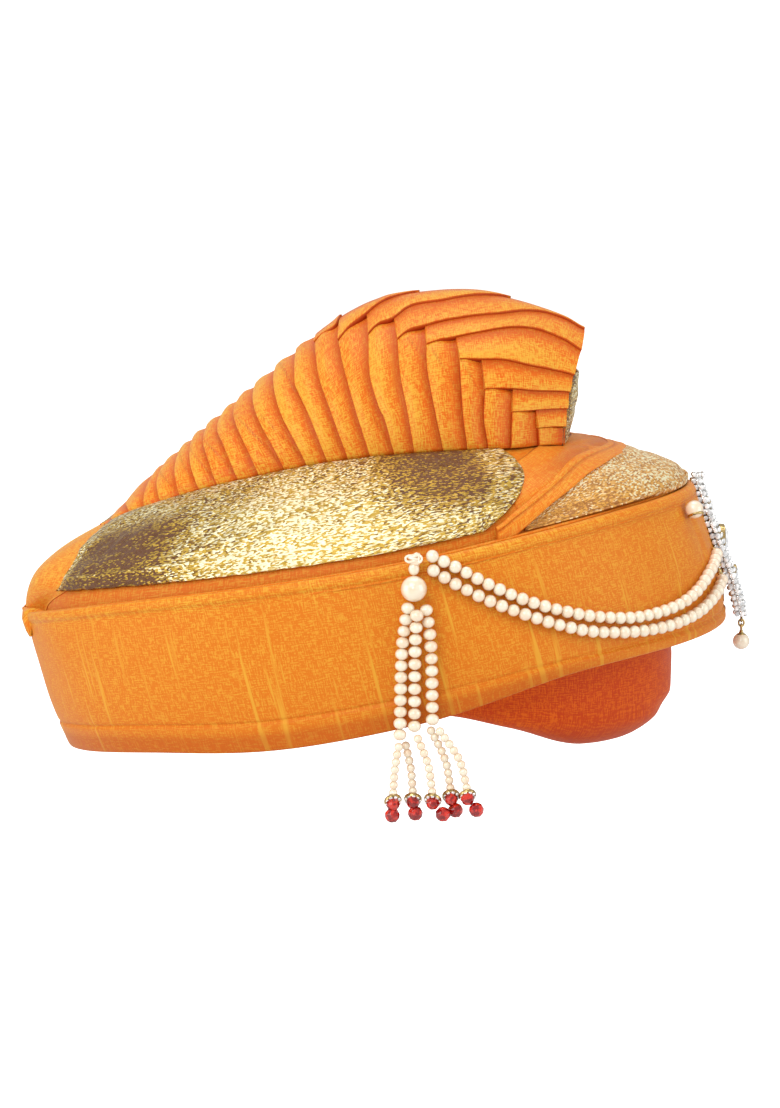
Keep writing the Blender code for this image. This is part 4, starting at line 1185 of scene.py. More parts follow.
    def strap(self) -> None:
        """Make the folded strap: a flat tube with rounded sides and one long crease."""
        along = np.linspace(-65.5, 65.5, 130)[:, None]
        turn = circle(48)[None, :]
        inner = self.strap_edges.read(1, self.form.brim.turn_of(along))
        outer = self.strap_edges.read(2, self.form.brim.turn_of(along))
        side = square_off(np.cos(turn), 0.55)
        rise = square_off(np.sin(turn), 0.55)
        crease = 0.0005 * np.exp(-((side + 0.35) / 0.10) ** 2) * ease(0.2, 0.6, rise)
        lift = (self.rest + 0.0011 * (1 + rise)) * (0.42 + 0.58 * ease(8, 40, self.form.brim.turn_of(along)))
        lift = lift - crease + 0.0003 * ripples(along / 30, side, 40) * ease(0, 0.5, rise)
        reach = (inner + outer) / 2 + (outer - inner) / 2 * side
        points = self.form.point(along, np.minimum(reach, 1.0), lift)
        # Painted highlight on the strap's upper side, weaker towards one side.
        crown = np.clip(0.8 * ease(-0.2, 0.6, rise) * (1 - 0.5 * ease(0.2, 0.9, side)) + 0.0 * along, 0, 1)
        # Painted shade in the crease and on the underside.
        painted_shade = np.clip(0.5 * ease(0.0003, 0.0005, crease) + 0.5 * ease(0.0, -0.6, rise) + 0.0 * along, 0, 1)
        heap = Heap()
        masks = {"crown": crown, "painted_shade": painted_shade}
        surface = Surface(points, masks, close_columns=True).facing((0.06, 0, 0.11))
        surface.cloth_turn = True
        heap.add_surface(surface)
        ring = np.arange(48)
        for start, order in ((0, 1), (129 * 48, -1)):
            heap.add_faces((start + ring[::order])[None, :], 0)
        piece = heap.piece("strap_cloth", smooth=60)
        dress(piece, self.palette.deck, ("strap",))
        0.5 * surface.area()

    def build(self) -> None:
        """Make all the cloths."""
        self.deck()
        self.wrap()
        self.apron()
        self.strap()


@dataclass
class GoldTissues:
    """The gold tissue: a panel on each side, the deck's brow and the crest's brow."""

    palette: Palette
    crest: CrestForm = CrestForm()
    cloth: float = 0.0012
    brow_puff: float = 0.0044
    first: float = 0.035
    last: float = 0.865
    foot: Curve = Curve(((0.00, 160, 0.988), (0.30, 132, 0.990), (0.60, 103, 0.988), (1.00, 68.5, 0.988)))

    def panel(self, side: Side) -> None:
        """Lay a panel from the crest's foot down to the ledge.

        Each column goes from the crest's foot to the lower edge in angle and reach. The ends bow out by the
        sine of the drop. Ripples and one long crease near the lower edge make the tissue glitter.

        Args:
            side: The side it lies on.
        """
        along = np.linspace(0, 1, 190)[None, :]
        drop = np.linspace(0, 1, 64)[:, None]
        x = self.crest.tail + self.crest.length * (self.first + (self.last - self.first) * along)
        angle, reach = self.crest.deck.place(x, self.crest.half_width(x) + 0.0008)
        ends = np.abs(2 * along - 1) ** 5
        bow = ends * np.where(along < 0.5, -7.0, -3.6) * np.sin(math.pi * drop)
        here = angle + (self.foot.read(1, along) - angle) * drop + bow
        out = reach + (self.foot.read(2, along) - reach) * (1 - (1 - drop) ** 1.5)
        frayed = 0.0007 * ripples(along * 26, 0 * along, 50) * ease(0.93, 1.0, drop)
        fold = 0.0009 * np.exp(-((drop - 0.86 + 0.06 * along) / 0.022) ** 2)
        fold = fold * ease(0.04, 0.12, along) * ease(0.62, 0.4, along)
        waves = 0.0007 * ripples(along * 5, drop * 2.2, 51) + 0.0003 * ripples(along * 16, drop * 6, 52)
        edge = fold_edge(np.minimum(drop, 1 - drop) * 60, 1.0)
        edge = edge * fold_edge(np.minimum(along, 1 - along) * 160, 1.0)
        lift = 0.0008 + self.cloth * edge + (waves + fold) * ease(0, 0.05, drop) * ease(1.0, 0.95, drop)
        points = self.crest.deck.point(-here, out + frayed, lift)
        points = points * np.array((1, -side.value, 1))
        # Painted reflection: bright across the middle of the panel, along the long fold and at the tail end.
        crown = np.clip(ease(0.28, 0.56, along) * ease(0.92, 0.68, along) * ease(0.1, 0.5, drop)
                        + 0.6 * fold / 0.0009 + 0.10 * (1 - ease(0, 0.10, along)), 0, 1)
        # Painted shade in patches towards both ends of the panel, less where the painted highlight falls.
        dark = ease(0.04, 0.12, along) * ease(0.42, 0.26, along) * ease(0.25, 0.5, drop)
        dark = np.maximum(dark, ease(0.66, 0.76, along) * ease(0.96, 0.86, along) * ease(0.80, 0.45, drop))
        masks = {"crown": crown, "painted_shade": np.clip(dark - crown * 0.5, 0, 1)}
        surface = Surface(points, masks).facing((0, 0, 0.03))
        name = "near" if side is Side.NEAR else "far"
        piece = sew(f"tissue_panel_{name}", surface, 80, self.palette.tissue, (f"gold_panel_{name}",), 0.0006)
        surface.area()

    def deck_front(self) -> None:
        """Lay the tissue on the deck's brow, with soft folds along its upper edge."""
        angle = np.linspace(-60, 60, 150)[None, :]
        drop = np.linspace(0, 1, 40)[:, None]
        turn = self.crest.deck.brim.turn_of(angle)
        upper = DeckCloths(self.palette).strap_edges.read(2, turn) - 0.01
        puff = ease(50, 15, turn)
        folds = 0.0007 * ripples(angle / 34, drop * 2.5, 60) * ease(0.0, 0.2, drop) * ease(1.0, 0.8, drop)
        folds = folds + self.brow_puff * ease(0.25, 0.9, drop) * puff
        points = self.crest.deck.point(angle, upper + (0.998 - upper) * drop, 0.0014 + folds)
        share = np.linspace(0.14, 1.0, 7)[:, None, None] * ease(60, 35, turn)[..., None]
        over = self.crest.deck.brim.face(angle, 1.0, -0.0014) + (0, 0, 0.0022)
        arch = 0.0018 * np.sin(math.pi * share) * puff[..., None] * UP
        points = np.concatenate((points, points[-1:] + (over - points[-1:]) * share + arch))
        drop = np.vstack((drop, np.ones((7, 1))))
        # Crown mask (painted highlight): 0.30 with soft random ripples.
        crown = np.clip(0.30 + 0.35 * ripples(angle / 20, drop * 2, 61), 0, 1)
        # Painted shade towards the sides, on the lower part of the tissue.
        painted_shade = np.clip(0.5 * ease(25, 52, turn) * ease(0.2, 0.7, drop), 0, 1)
        surface = Surface(points, {"crown": crown, "painted_shade": painted_shade}).facing((0, 0, 0.03))
        piece = sew("tissue_deck_front", surface, 80, self.palette.soft_tissue, ("front_deck_gold",), 0.0006)
        surface.area()

    def crest_front(self) -> None:
        """Lay the tissue over the crest's brow end: flat at the sides and swelling by a fourth power."""
        tallest = 0.62
        share = np.linspace(0, 1, 44)[:, None]
        across = np.linspace(-1, 1, 70)[None, :]
        x, z = self.crest.brow_edge(tallest * share)
        turn = np.arcsin(np.clip((z - self.crest.base(x)) / (self.crest.ridge(x) - self.crest.base(x)), 0, 1))
        edge = self.crest.half_width(x) * np.cos(turn) + 0.0012
        puff = 0.0007 * ripples(across * 2.2, share * 3, 70)
        swell = (0.0050 + puff) * (1 - np.abs(across) ** 4) * (0.6 + 0.4 * np.sin(math.pi * share))
        front = x + 0.0010 + swell
        y = across * edge
        low = self.crest.deck.height(front, y) + 0.0008
        points = np.stack(np.broadcast_arrays(front, y, low + (z[-1] - low) * share), axis=-1)
        # Crown mask (painted highlight): 0.2 with soft random ripples.
        crown = np.clip(0.2 + 0.5 * ripples(across * 2, share * 2, 71), 0, 1)
        # Painted shade along both side edges.
        painted_shade = np.clip(0.9 * ease(0.86, 0.99, np.abs(across)) + 0.0 * share, 0, 1)
        surface = Surface(points, {"crown": crown, "painted_shade": painted_shade}).facing((0, 0, 0.13))
        piece = sew("tissue_crest_front", surface, 80, self.palette.tissue, ("crest_front_gold",), 0.0008)
        surface.area()

    def build(self) -> None:
        """Make all the tissue."""
        for side in Side:
            self.panel(side)
        self.deck_front()
        self.crest_front()


Line = tuple[tuple[float, float], ...]

UPRIGHTS: dict[str, Line] = {
    "tail": ((-133.3, 0), (-133.2, 45), (-133.1, 90)),
    "m": ((-126.5, 0), (-128, 50), (-127, 90)),
    "n": ((-118.4, 0), (-120.9, 60), (-118.2, 90)),
    "o": ((-111.9, 0), (-111.6, 35), (-108.5, 90)),
    "p": ((-104.9, 0), (-106.6, 42), (-103.7, 90)),
    "q": ((-96.8, 0), (-98.9, 38), (-97.6, 90)),
    "r": ((-88.9, 0), (-92.5, 39), (-92.4, 90)),
    "s": ((-81.5, 0), (-86.2, 38), (-87.2, 56), (-86.6, 90)),
    "t": ((-73.2, 0), (-78.4, 31), (-81.6, 57), (-79.6, 90)),
    "u": ((-65.0, 0), (-72.7, 38), (-75.2, 66), (-72.4, 90)),
    "v": ((-54.7, 0), (-63.6, 32), (-67.1, 59), (-66.6, 90)),
    "w": ((-45.7, 0), (-55.2, 30), (-58.7, 60), (-58.2, 90)),
    "x": ((-37.5, 0), (-42.0, 15), (-49.2, 42), (-50.2, 55), (-49.9, 90)),
    "y": ((-29.3, 0), (-35.4, 20), (-40.6, 43), (-42.3, 72)),
    "z": ((-20.5, 0), (-26.5, 21), (-31.0, 43), (-32.9, 60)),
    "a": ((-10.7, 0), (-14.5, 14), (-17.1, 20), (-20.5, 34), (-20.9, 56)),
    "b": ((-2.9, 0), (-6.1, 19), (-8.3, 31), (-9.6, 49)),
    "c": ((8.5, 0), (4.9, 17), (2.2, 33), (1.9, 45)),
    "d": ((18.0, 0), (16.2, 13), (15.3, 29), (15.0, 37)),
    "e": ((26.3, 0), (24.4, 12), (24.9, 24)),
    "f": ((35.0, 0), (35.2, 8), (35.5, 15)),
    "g": ((46.0, 0), (45.8, 4), (45.6, 8)),
    "brow": ((57.0, 0), (57.1, 4), (57.3, 9)),
}

BENDS: dict[str, Line] = {
    "y": ((-42.3, 72), (-38.5, 75), (-33.4, 76), (-31.1, 90)),
    "z": ((-32.9, 60), (-27.6, 68), (-21.9, 72), (-14.6, 80), (-0.1, 90)),
    "a": ((-20.9, 56), (-16.6, 62), (-11.0, 64), (-2.9, 72), (10.3, 74), (25.5, 81), (35.8, 90)),
    "b": ((-9.6, 49), (-4.8, 54), (1.3, 56), (7.6, 58), (18.8, 61), (31.5, 67), (43.1, 76), (50.9, 81), (59.7, 83),
          (67.2, 84)),
    "c": ((1.9, 45), (7.5, 47), (13.7, 48), (24.9, 52), (37.5, 59), (47.0, 62), (56.6, 61), (64.8, 59)),
    "d": ((15.0, 37), (23.7, 37), (33.4, 38), (43.4, 37), (52.9, 37), (61.0, 37.5)),
    "e": ((24.9, 24), (36.0, 25), (45.9, 25), (59.2, 27)),
    "f": ((35.5, 15), (45.0, 16), (58.2, 18)),
    "g": ((45.6, 8), (57.3, 9)),
}

TOPS: dict[str, Line] = {
    "y": ((-41.6, 90), (-36.0, 90), (-31.1, 90)),
    "z": ((-31.8, 90), (-15.0, 90), (-0.1, 90)),
    "a": ((-21.6, 72.5), (-14.6, 80), (-0.1, 90), (18.0, 90), (35.8, 90)),
    "b": (*BENDS["a"][2:], (52.0, 90), (67.5, 90)),
    "c": BENDS["b"][2:],
    "d": BENDS["c"][2:],
    "e": BENDS["d"][1:],
    "f": BENDS["e"][1:],
    "g": BENDS["f"][1:],
}

CREASES: dict[str, tuple[float, float, float, float]] = {
    "p": (0.62, 0.10, 0.05, 0.95),
    "q": (0.80, 0.10, 0.05, 1.0),
    "r": (0.62, 0.05, 0.03, 1.0),
    "s": (0.60, 0.05, 0.03, 1.0),
    "u": (0.66, 0.02, 0.03, 1.0),
    "v": (0.45, 0.15, 0.02, 1.0),
    "w": (0.95, 0.20, 0.42, 1.0),
    "x": (0.95, 0.25, 0.70, 1.0),
    "z": (0.26, 0.55, 0.00, 1.0),
    "b": (0.97, 0.35, 0.68, 1.0),
    "c": (0.97, 0.12, 0.42, 1.0),
    "d": (1.00, 0.05, 0.50, 1.0),
    "e": (1.00, 0.80, 0.85, 1.0),
}


@dataclass
class Crest:
    """The pleated crest.

    Side view lines on the crest are pairs of x in millimetres and turn in degrees. A pleat fills the space
    between two upright lines, and its left edge is the fold that lies on top. From line y on, a pleat ends
    under a band: the band starts at the same upright, runs to the brow edge over its bend line, and tucks its
    upper side under the band above.
    """

    palette: Palette
    form: CrestForm = CrestForm()
    relief: float = 0.0019
    lift: float = 0.0010
    cloth: float = 0.0005
    pile: float = 0.0026
    across: Array = field(default_factory=lambda: np.concatenate((
        (0, 0.006, 0.014, 0.024, 0.038, 0.056), np.linspace(0.085, 1.0, 21), (1.05,))))

    def strip(self, first: Line, last: Line, along: Array, across: Array) -> tuple[Array, Array]:
        """Fill the space between two lines, straight across at equal shares of their length.

        Args:
            first: The line at 0 across.
            last: The line at 1 across.
            along: Shares of the length.
            across: Shares across.

        Returns:
            x in metres and turn in degrees, by share along and across.
        """
        start, end = (run_through(np.array(line), along)[:, None] for line in (first, last))
        grid = start + (end - start) * across[None, :, None]
        return grid[..., 0] * MM, grid[..., 1]

    def pleat_height(self, along: Array, across: Array, crease: tuple[float, ...] | None,
                     seed: int) -> tuple[Array, Array]:
        """Give the relief of one pleat as a share: a rolled fold, a full middle and a tuck under the next.

        A crease runs straight between two places on the pleat, and the cloth beyond it lies lower.

        Args:
            along: Shares along, as a column.
            across: Shares across, as a row.
            crease: Start along and across, end along and across, or None.
            seed: Ripples of this pleat.

        Returns:
            Relief from about -0.3 to 1, and a mask of painted shade along the crease's line.
        """
        roll = fold_edge(across, 0.035)
        full = 0.88 + 0.12 * np.sin(math.pi * np.clip(across / 0.6, 0, 1))
        height = roll * full * (1 - 0.80 * ease(0.25, 1.02, across)) - 0.30 * (1 - roll)
        height = height + 0.05 * ripples(along * 1.6, across * 0.9, seed) * roll
        crease_shade = np.zeros_like(height)
        if crease:
            start_along, start_across, end_along, end_across = crease
            share = np.clip((along - start_along) / (end_along - start_along), -0.2, 1.2)
            line = start_across + (end_across - start_across) * share
            inside = ease(-0.05, 0.04, share) * ease(1.1, 1.0, share)
            height = height - 0.13 * ease(-0.02, 0.04, across - line) * inside * roll
            height = height + 0.09 * np.exp(-(((across - line) + 0.02) / 0.03) ** 2) * inside * roll
            # Painted shade: a thin dark line along the crease.
            crease_shade = 0.55 * np.exp(-((across - line - 0.012) / 0.014) ** 2) * inside
        return height, crease_shade

    def uprights(self, heap: Heap) -> float:
        """Add the upright pleats and give their area."""
        names = list(UPRIGHTS)
        area = 0.0
        for number, (name, following) in enumerate(zip(names, names[1:])):
            crossing = following < "z" and len(following) == 1 and name not in BENDS
            along = np.linspace(0, 1 if crossing else 1.05, 34)
            last = UPRIGHTS[following]
            if following == "y" or (following in BENDS and name in BENDS):
                last = (*last, TOPS[following][0])
            x, turn = self.strip(UPRIGHTS[name], last, along, self.across)
            share, crease_shade = self.pleat_height(along[:, None], self.across[None, :], CREASES.get(name),
                                            100 + number)
            tuck = 0.45 + 0.55 * ease(0.0, 0.10, along)[:, None]
            narrow = np.clip(number / 6.0, 0.35, 1.0)
            out = (self.relief * share * tuck * narrow + self.lift) * (0.15 + 0.85 * ease(self.form.tail, -0.124, x))
            if not crossing:
                out = out - 0.45 * self.relief * ease(0.93, 1.04, along)[:, None]
            area += self.add(heap, x, turn, out, (share, crease_shade), crossing, number)
        return area

    def bands(self, heap: Heap) -> float:
        """Add the bands over the bend lines and give their area."""
        area = 0.0
        ends = np.array((1.0, 1.0, 1.0))
        for number, (name, bend) in enumerate(BENDS.items()):
            along = np.concatenate((np.linspace(0, 0.06, 8)[:-1], np.linspace(0.06, 1, 56), ends))
            x, turn = self.strip(bend, TOPS[name], along, self.across)
            roll = fold_edge(self.across, 0.03)[None, :] * fold_edge(along, 0.008)[:, None]
            share = roll * (1 - 0.55 * ease(0.10, 1.0, self.across))[None, :]
            waves = ripples(along[:, None] * 3, self.across[None, :], 200 + number)
            share = share + 0.04 * waves * roll
            out = self.lift + self.relief * (0.10 + 0.95 * share - 0.40 * (1 - roll))
            out[-3:] = out[-3:] * np.array((0.9, 0.45, 0.0))[:, None] - np.array((0, 0.0004, 0.0016))[:, None]
            turn = np.minimum(turn, 90.0)
            area += self.add(heap, x, turn, out, (share, np.zeros_like(share)), False, 40 + number)
        return area

    def piled(self, x: Array, turn: Array) -> Array:
        """Give the extra height of the many layers that lie along the ridge towards the brow."""
        return self.pile * ease(62, 86, turn) * ease(-0.05, -0.01, x)

    def add(self, heap: Heap, x: Array, turn: Array, out: Array, relief: tuple[Array, Array], crossing: bool,
            number: int) -> float:
        """Add one strip on both sides, as one piece over the ridge where it crosses it.

        Args:
            heap: Where it goes.
            x: Places along X.
            turn: Turns in degrees.
            out: Steps out.
            relief: Relief as a share and the painted shade mask of creases, for the finish.
            crossing: Whether the strip crosses the ridge.
            number: Number of the strip, which shifts its cloth.

        Returns:
            The area added.
        """
        share, crease_shade = relief
        place = np.broadcast_to(self.across, share.shape)
        # Painted highlight on the raised part of each pleat, stronger where its relief is high.
        crown = ease(0.01, 0.06, place) * ease(0.95, 0.25, place) * np.clip(0.55 + share * 0.5, 0, 1)
        # Painted shade at the folded edge, where the pleat tucks under the next, and along creases.
        painted_shade = np.maximum(np.maximum(ease(0.04, 0.0, place), 0.45 * ease(0.60, 1.0, place)), crease_shade)
        shift = (0.037 * number, 0.021 * number)
        out = out + self.piled(x, turn)
        masks = {"crown": crown, "painted_shade": painted_shade}
        centre = (-0.03, 0, 0.08)
        if crossing:
            x, out = (np.vstack((part, part[-2::-1])) for part in (x, out))
            turn = np.vstack((turn, 180 - turn[-2::-1]))
            masks = {name: np.vstack((mask, mask[-2::-1])) for name, mask in masks.items()}
            surface = Surface(self.form.lifted(x, turn, out), masks).facing(centre)
            heap.add_surface(surface, shift)
            return surface.area()
        points = self.form.lifted(x, turn, out)
        near = Surface(points, masks).facing(centre)
        far = Surface(points * np.array((1, -1, 1)), masks).facing(centre)
        heap.add_surface(near, shift)
        heap.add_surface(far, (shift[0], -shift[1]))
        return 2 * near.area()

    def backing(self) -> Surface:
        """Give the smooth cloth under the pleats, painted dark all over as shade."""
        x = np.linspace(self.form.tail + 0.0006, self.form.tail + self.form.length - 0.001, 120)[None, :]
        turn = np.linspace(0, 180, 70)[:, None]
        x, turn = np.broadcast_arrays(x, turn)
        points = self.form.lifted(x, turn, np.full(x.shape, -0.0007))
        # Painted shade (0.9) over the whole lining under the pleats.
        return Surface(points, {"painted_shade": np.full(x.shape, 0.9)}).facing((-0.03, 0, 0.08))

    def brow(self) -> Surface:
        """Give the cloth across the brow end, a little inside the edge, with soft gathers."""
        share = np.linspace(0, 1, 40)[:, None]
        across = np.linspace(-1, 1, 60)[None, :]
        x, z = self.form.brow_edge(share)
        climb = np.clip((z - self.form.base(x)) / (self.form.ridge(x) - self.form.base(x)), 0, 1)
        turn = np.degrees(np.arcsin(climb))
        rim = self.form.lifted(x, turn, self.piled(x, turn) + 0.0008)
        y, z = -across * rim[..., 1], rim[..., 2]
        front = x - 0.0016 + 0.0005 * ripples(across * 3, share * 2, 80)
        low = self.form.deck.height(front, y) + 0.0006
        lift = np.maximum(z + (low - z[:1]) * (1 - share), low)
        points = np.stack(np.broadcast_arrays(front, y, lift), axis=-1)
        # An even painted shade (0.3) on the recessed brow cloth, with an even crown of 0.2.
        masks = {"crown": np.full(points.shape[:2], 0.2), "painted_shade": np.full(points.shape[:2], 0.3)}
        return Surface(points, masks).facing((-0.03, 0, 0.13))

    def build(self) -> None:
        """Make the crest."""
        for name, strips, replaced in (("crest_pleats", self.uprights, ("crest",)),
                                       ("crest_bands", self.bands, ())):
            heap = Heap()
            area = strips(heap)
            piece = heap.piece(name, smooth=75)
            dress(piece, self.palette.pleats, replaced, wall=self.cloth)
        backing = Heap()
        surfaces = (self.backing(), self.brow())
        for surface in surfaces:
            backing.add_surface(surface)
        lining = backing.piece("crest_lining", smooth=75)
        dress(lining, self.palette.pleats, wall=0.001)
        sum(surface.area() for surface in surfaces)


def unit_ball(detail: int) -> tuple[Array, Array]:
    """Give a ball of radius one made of quads.

    A grid on each side of a cube is spread by the tangent of an even angle and pushed out to length one.
    Points that meet on the cube's edges are merged.

    Args:
        detail: Quads along one edge of the cube.

    Returns:
        Its points and its quads.
    """
    steps = np.tan(np.linspace(-math.pi / 4, math.pi / 4, detail + 1))
    first, second = np.meshgrid(steps, steps, indexing="ij")
    grids = [np.roll(np.stack((np.full_like(first, sign), first * sign, second), axis=-1), axis, axis=-1)
             for axis in range(3) for sign in (1.0, -1.0)]
    points = np.concatenate([grid.reshape(-1, 3) for grid in grids])
    points /= np.linalg.norm(points, axis=1, keepdims=True)
    row, column = np.meshgrid(np.arange(detail), np.arange(detail), indexing="ij")
    corner = (row * (detail + 1) + column).ravel()
    quads = np.stack((corner, corner + detail + 1, corner + detail + 2, corner + 1), axis=-1)
    quads = (quads[None] + (np.arange(6) * (detail + 1) ** 2)[:, None, None]).reshape(-1, 4)
    merged, order = np.unique(np.round(points, 6), axis=0, return_inverse=True)
    return merged, order.reshape(-1)[quads]


def frames(axes: Array) -> tuple[Array, Array, Array]:
    """Give two directions square to each axis, and the axis at length one.

    Args:
        axes: Directions, one a row.

    Returns:
        Three arrays of directions that form a right-handed set for each row.
    """
    axes = axes / np.linalg.norm(axes, axis=1, keepdims=True)
    guide = np.where(np.abs(axes[:, 2:]) > 0.9, np.array((1.0, 0, 0)), UP)
    first = np.cross(guide, axes)
    first /= np.linalg.norm(first, axis=1, keepdims=True)
    return first, np.cross(axes, first), axes


def spread(shape: Array, centres: Array, axes: Array, sizes: Array | float) -> Array:
    """Copy a shape to each centre, scaled by the size and with its Z on the axis.

    Args:
        shape: Points of the shape.
        centres: Middles, one a row.
        axes: Axis of each.
        sizes: Scale of each.

    Returns:
        Points by centre and place on the shape.
    """
    first, second, third = (part[:, None] for part in frames(axes))
    scale = np.broadcast_to(sizes, len(centres))[:, None, None]
    return centres[:, None] + scale * (shape[:, :1] * first + shape[:, 1:2] * second + shape[:, 2:] * third)


def add_balls(heap: Heap, centres: Array, radii: Array | float, detail: int, squash: float = 1.0,
              axes: Array | None = None) -> None:
    """Add a ball at each centre.

    Args:
        heap: Where they go.
        centres: Middles, one a row.
        radii: Radius of each.
        detail: Quads along one edge of the ball's cube.
        squash: Height along the axis as a share of the width.
        axes: Axis of each. None takes Z.
    """
    shape, quads = unit_ball(detail)
    centres = np.atleast_2d(centres)
    axes = np.tile((0.0, 0.0, 1.0), (len(centres), 1)) if axes is None else np.atleast_2d(axes)
    starts = (np.arange(len(centres)) * len(shape))[:, None, None]
    heap.add(spread(shape * (1, 1, squash), centres, axes, radii), (quads[None] + starts).reshape(-1, 4))


def beads(name: str, finish: Finish, centres: Array, radii: Array | float, detail: int,
          replaced: tuple[str, ...] = (), squash: float = 1.0, axes: Array | None = None) -> None:
    """Make and dress a piece of balls, with the values that add_balls and dress take."""
    heap = Heap()
    add_balls(heap, centres, radii, detail, squash, axes)
    dress(heap.piece(name), finish, replaced)


def add_turned(heap: Heap, profile: tuple[tuple[float, float], ...], centres: Array, axes: Array,
               sizes: Array | float, sides: int, twist: float = 0.0) -> None:
    """Add the same turned body at each centre, capped at both ends.

    Every profile row becomes a ring, turned against the one before by a share of one side, which makes
    facets of triangles where it is a half.

    Args:
        heap: Where they go.
        profile: Radius and height of each ring, from low to high.
        centres: Middles, one a row.
        axes: Axis of each.
        sizes: Scale of each.
        sides: Number of sides.
        twist: Turn of each ring against the last, as a share of one side.
    """
    centres, axes = np.atleast_2d(centres), np.atleast_2d(axes)
    rings = np.array(profile)
    rows = len(rings)
    turn = 2 * math.pi / sides * (np.arange(sides)[None, :] + 0.5 + twist * np.arange(rows)[:, None])
    flat = np.stack((rings[:, :1] * np.cos(turn), rings[:, :1] * np.sin(turn),
                     np.broadcast_to(rings[:, 1:], turn.shape)), axis=-1).reshape(-1, 3)
    row, column = np.meshgrid(np.arange(rows - 1), np.arange(sides), indexing="ij")
    a, b = row * sides + column, row * sides + (column + 1) % sides
    quads = np.stack((a, b, b + sides, a + sides), axis=-1).reshape(-1, 4)
    starts = (np.arange(len(centres)) * len(flat))[:, None, None]
    base = heap.count
    if twist:
        quads = np.concatenate((quads[:, [0, 1, 3]], quads[:, 1:]))
    heap.add(spread(flat, centres, axes, sizes), (quads[None] + starts).reshape(-1, quads.shape[1]))
    ring = np.arange(sides)
    caps = np.stack((ring[::-1], ring + (rows - 1) * sides))
    heap.add_faces((caps[None] + starts).reshape(-1, sides), base)


def tube(line: Array, radius: float, sides: int = 8, closed: bool = False) -> Surface:
    """Give a round tube along a line, on rings square to its direction.

    Args:
        line: Points of its middle.
        radius: Its radius.
        sides: Sides of the ring.
        closed: Whether the line is a loop.

    Returns:
        The surface.
    """
    if closed:
        along = np.roll(line, -1, axis=0) - np.roll(line, 1, axis=0)
    else:
        along = np.gradient(line, axis=0)
    along = along / np.linalg.norm(along, axis=1, keepdims=True)
    guide = np.linalg.svd(line - line.mean(axis=0))[2][2]
    first = np.cross(guide, along)
    first /= np.maximum(np.linalg.norm(first, axis=1, keepdims=True), 1e-9)
    second = np.cross(along, first)
    turn = circle(sides)[None, :, None]
    points = line[:, None] + radius * (np.cos(turn) * first[:, None] + np.sin(turn) * second[:, None])
    return Surface(points, {}, close_rows=closed, close_columns=True)


STONE_CUT = ((0.60, -0.40), (0.98, -0.06), (1.00, 0.08), (0.80, 0.34), (0.52, 0.46))
STONE_CUP = ((0.70, -0.62), (1.16, -0.30), (1.18, 0.02), (1.04, 0.12))


@dataclass
class Garlands:
    """The two strings of pearls along the band."""

    palette: Palette
    form: BrimForm = BrimForm()
    pearl: float = 0.005
    uneven: float = 0.03
    upper: Line = ((-77.9, 1.030), (-74.8, 0.925), (-70.2, 0.750), (-65.1, 0.587), (-59.6, 0.458), (-53.7, 0.360),
                   (-45.8, 0.288), (-36.4, 0.285), (-28.1, 0.338), (-18.8, 0.443), (-12.0, 0.513))
    lower: Line = ((-78.3, 0.935), (-75.4, 0.810), (-70.9, 0.645), (-65.7, 0.490), (-60.1, 0.352), (-54.2, 0.254),
                   (-46.0, 0.187), (-37.1, 0.170), (-28.1, 0.200), (-19.5, 0.265), (-13.0, 0.330))

    def route(self, line: Line) -> Array:
        """Give the places of a string's middle: half a pearl off the band's face."""
        angle, share = np.array(line).T
        out = self.pearl / 2 + 0.0006 + self.form.roll * np.maximum(0.0, 5 * share - 4)
        return self.form.face(angle, share, out)

    def string(self, name: str, line: Line) -> None:
        """String pearls at even distances along a smooth route.

        Args:
            name: Name of the CAD node that the string stands for.
            line: Angle and share of the band's height at places along it.
        """
        route = self.route(line)
        close = run_through(route, np.linspace(0, 1, 200))
        length = np.linalg.norm(np.diff(close, axis=0), axis=1).sum()
        count = round(length / self.pearl)
        number = np.arange(count + 1)
        centres = run_through(route, number / count)
        axes = np.gradient(centres, axis=0)
        uneven = self.uneven * np.sin(number * 2.4 + len(name)) * np.cos(number * 0.9)
        sizes = self.pearl / 2 * (0.985 + uneven)
        beads(f"pearls_{name}", self.palette.pearl, centres, sizes, 7, (name,), axes=axes)

    def end_beads(self) -> None:
        """Add the small gilt beads that join the strings to the brooch."""
        angle = np.array((-10.2, -9.0, -11.0, -9.7, -10.7, -9.2))
        share = np.array((0.53, 0.49, 0.46, 0.42, 0.38, 0.35))
        radii = np.array((13, 11, 13, 12, 13, 11)) * 0.0001
        beads("garland_end_beads", self.palette.gilt, self.form.face(angle, share, 0.0016), radii, 4)

    def build(self) -> None:
        """Make both strings and the beads at their end."""
        self.string("garland_upper", self.upper)
        self.string("garland_lower", self.lower)
        self.end_beads()


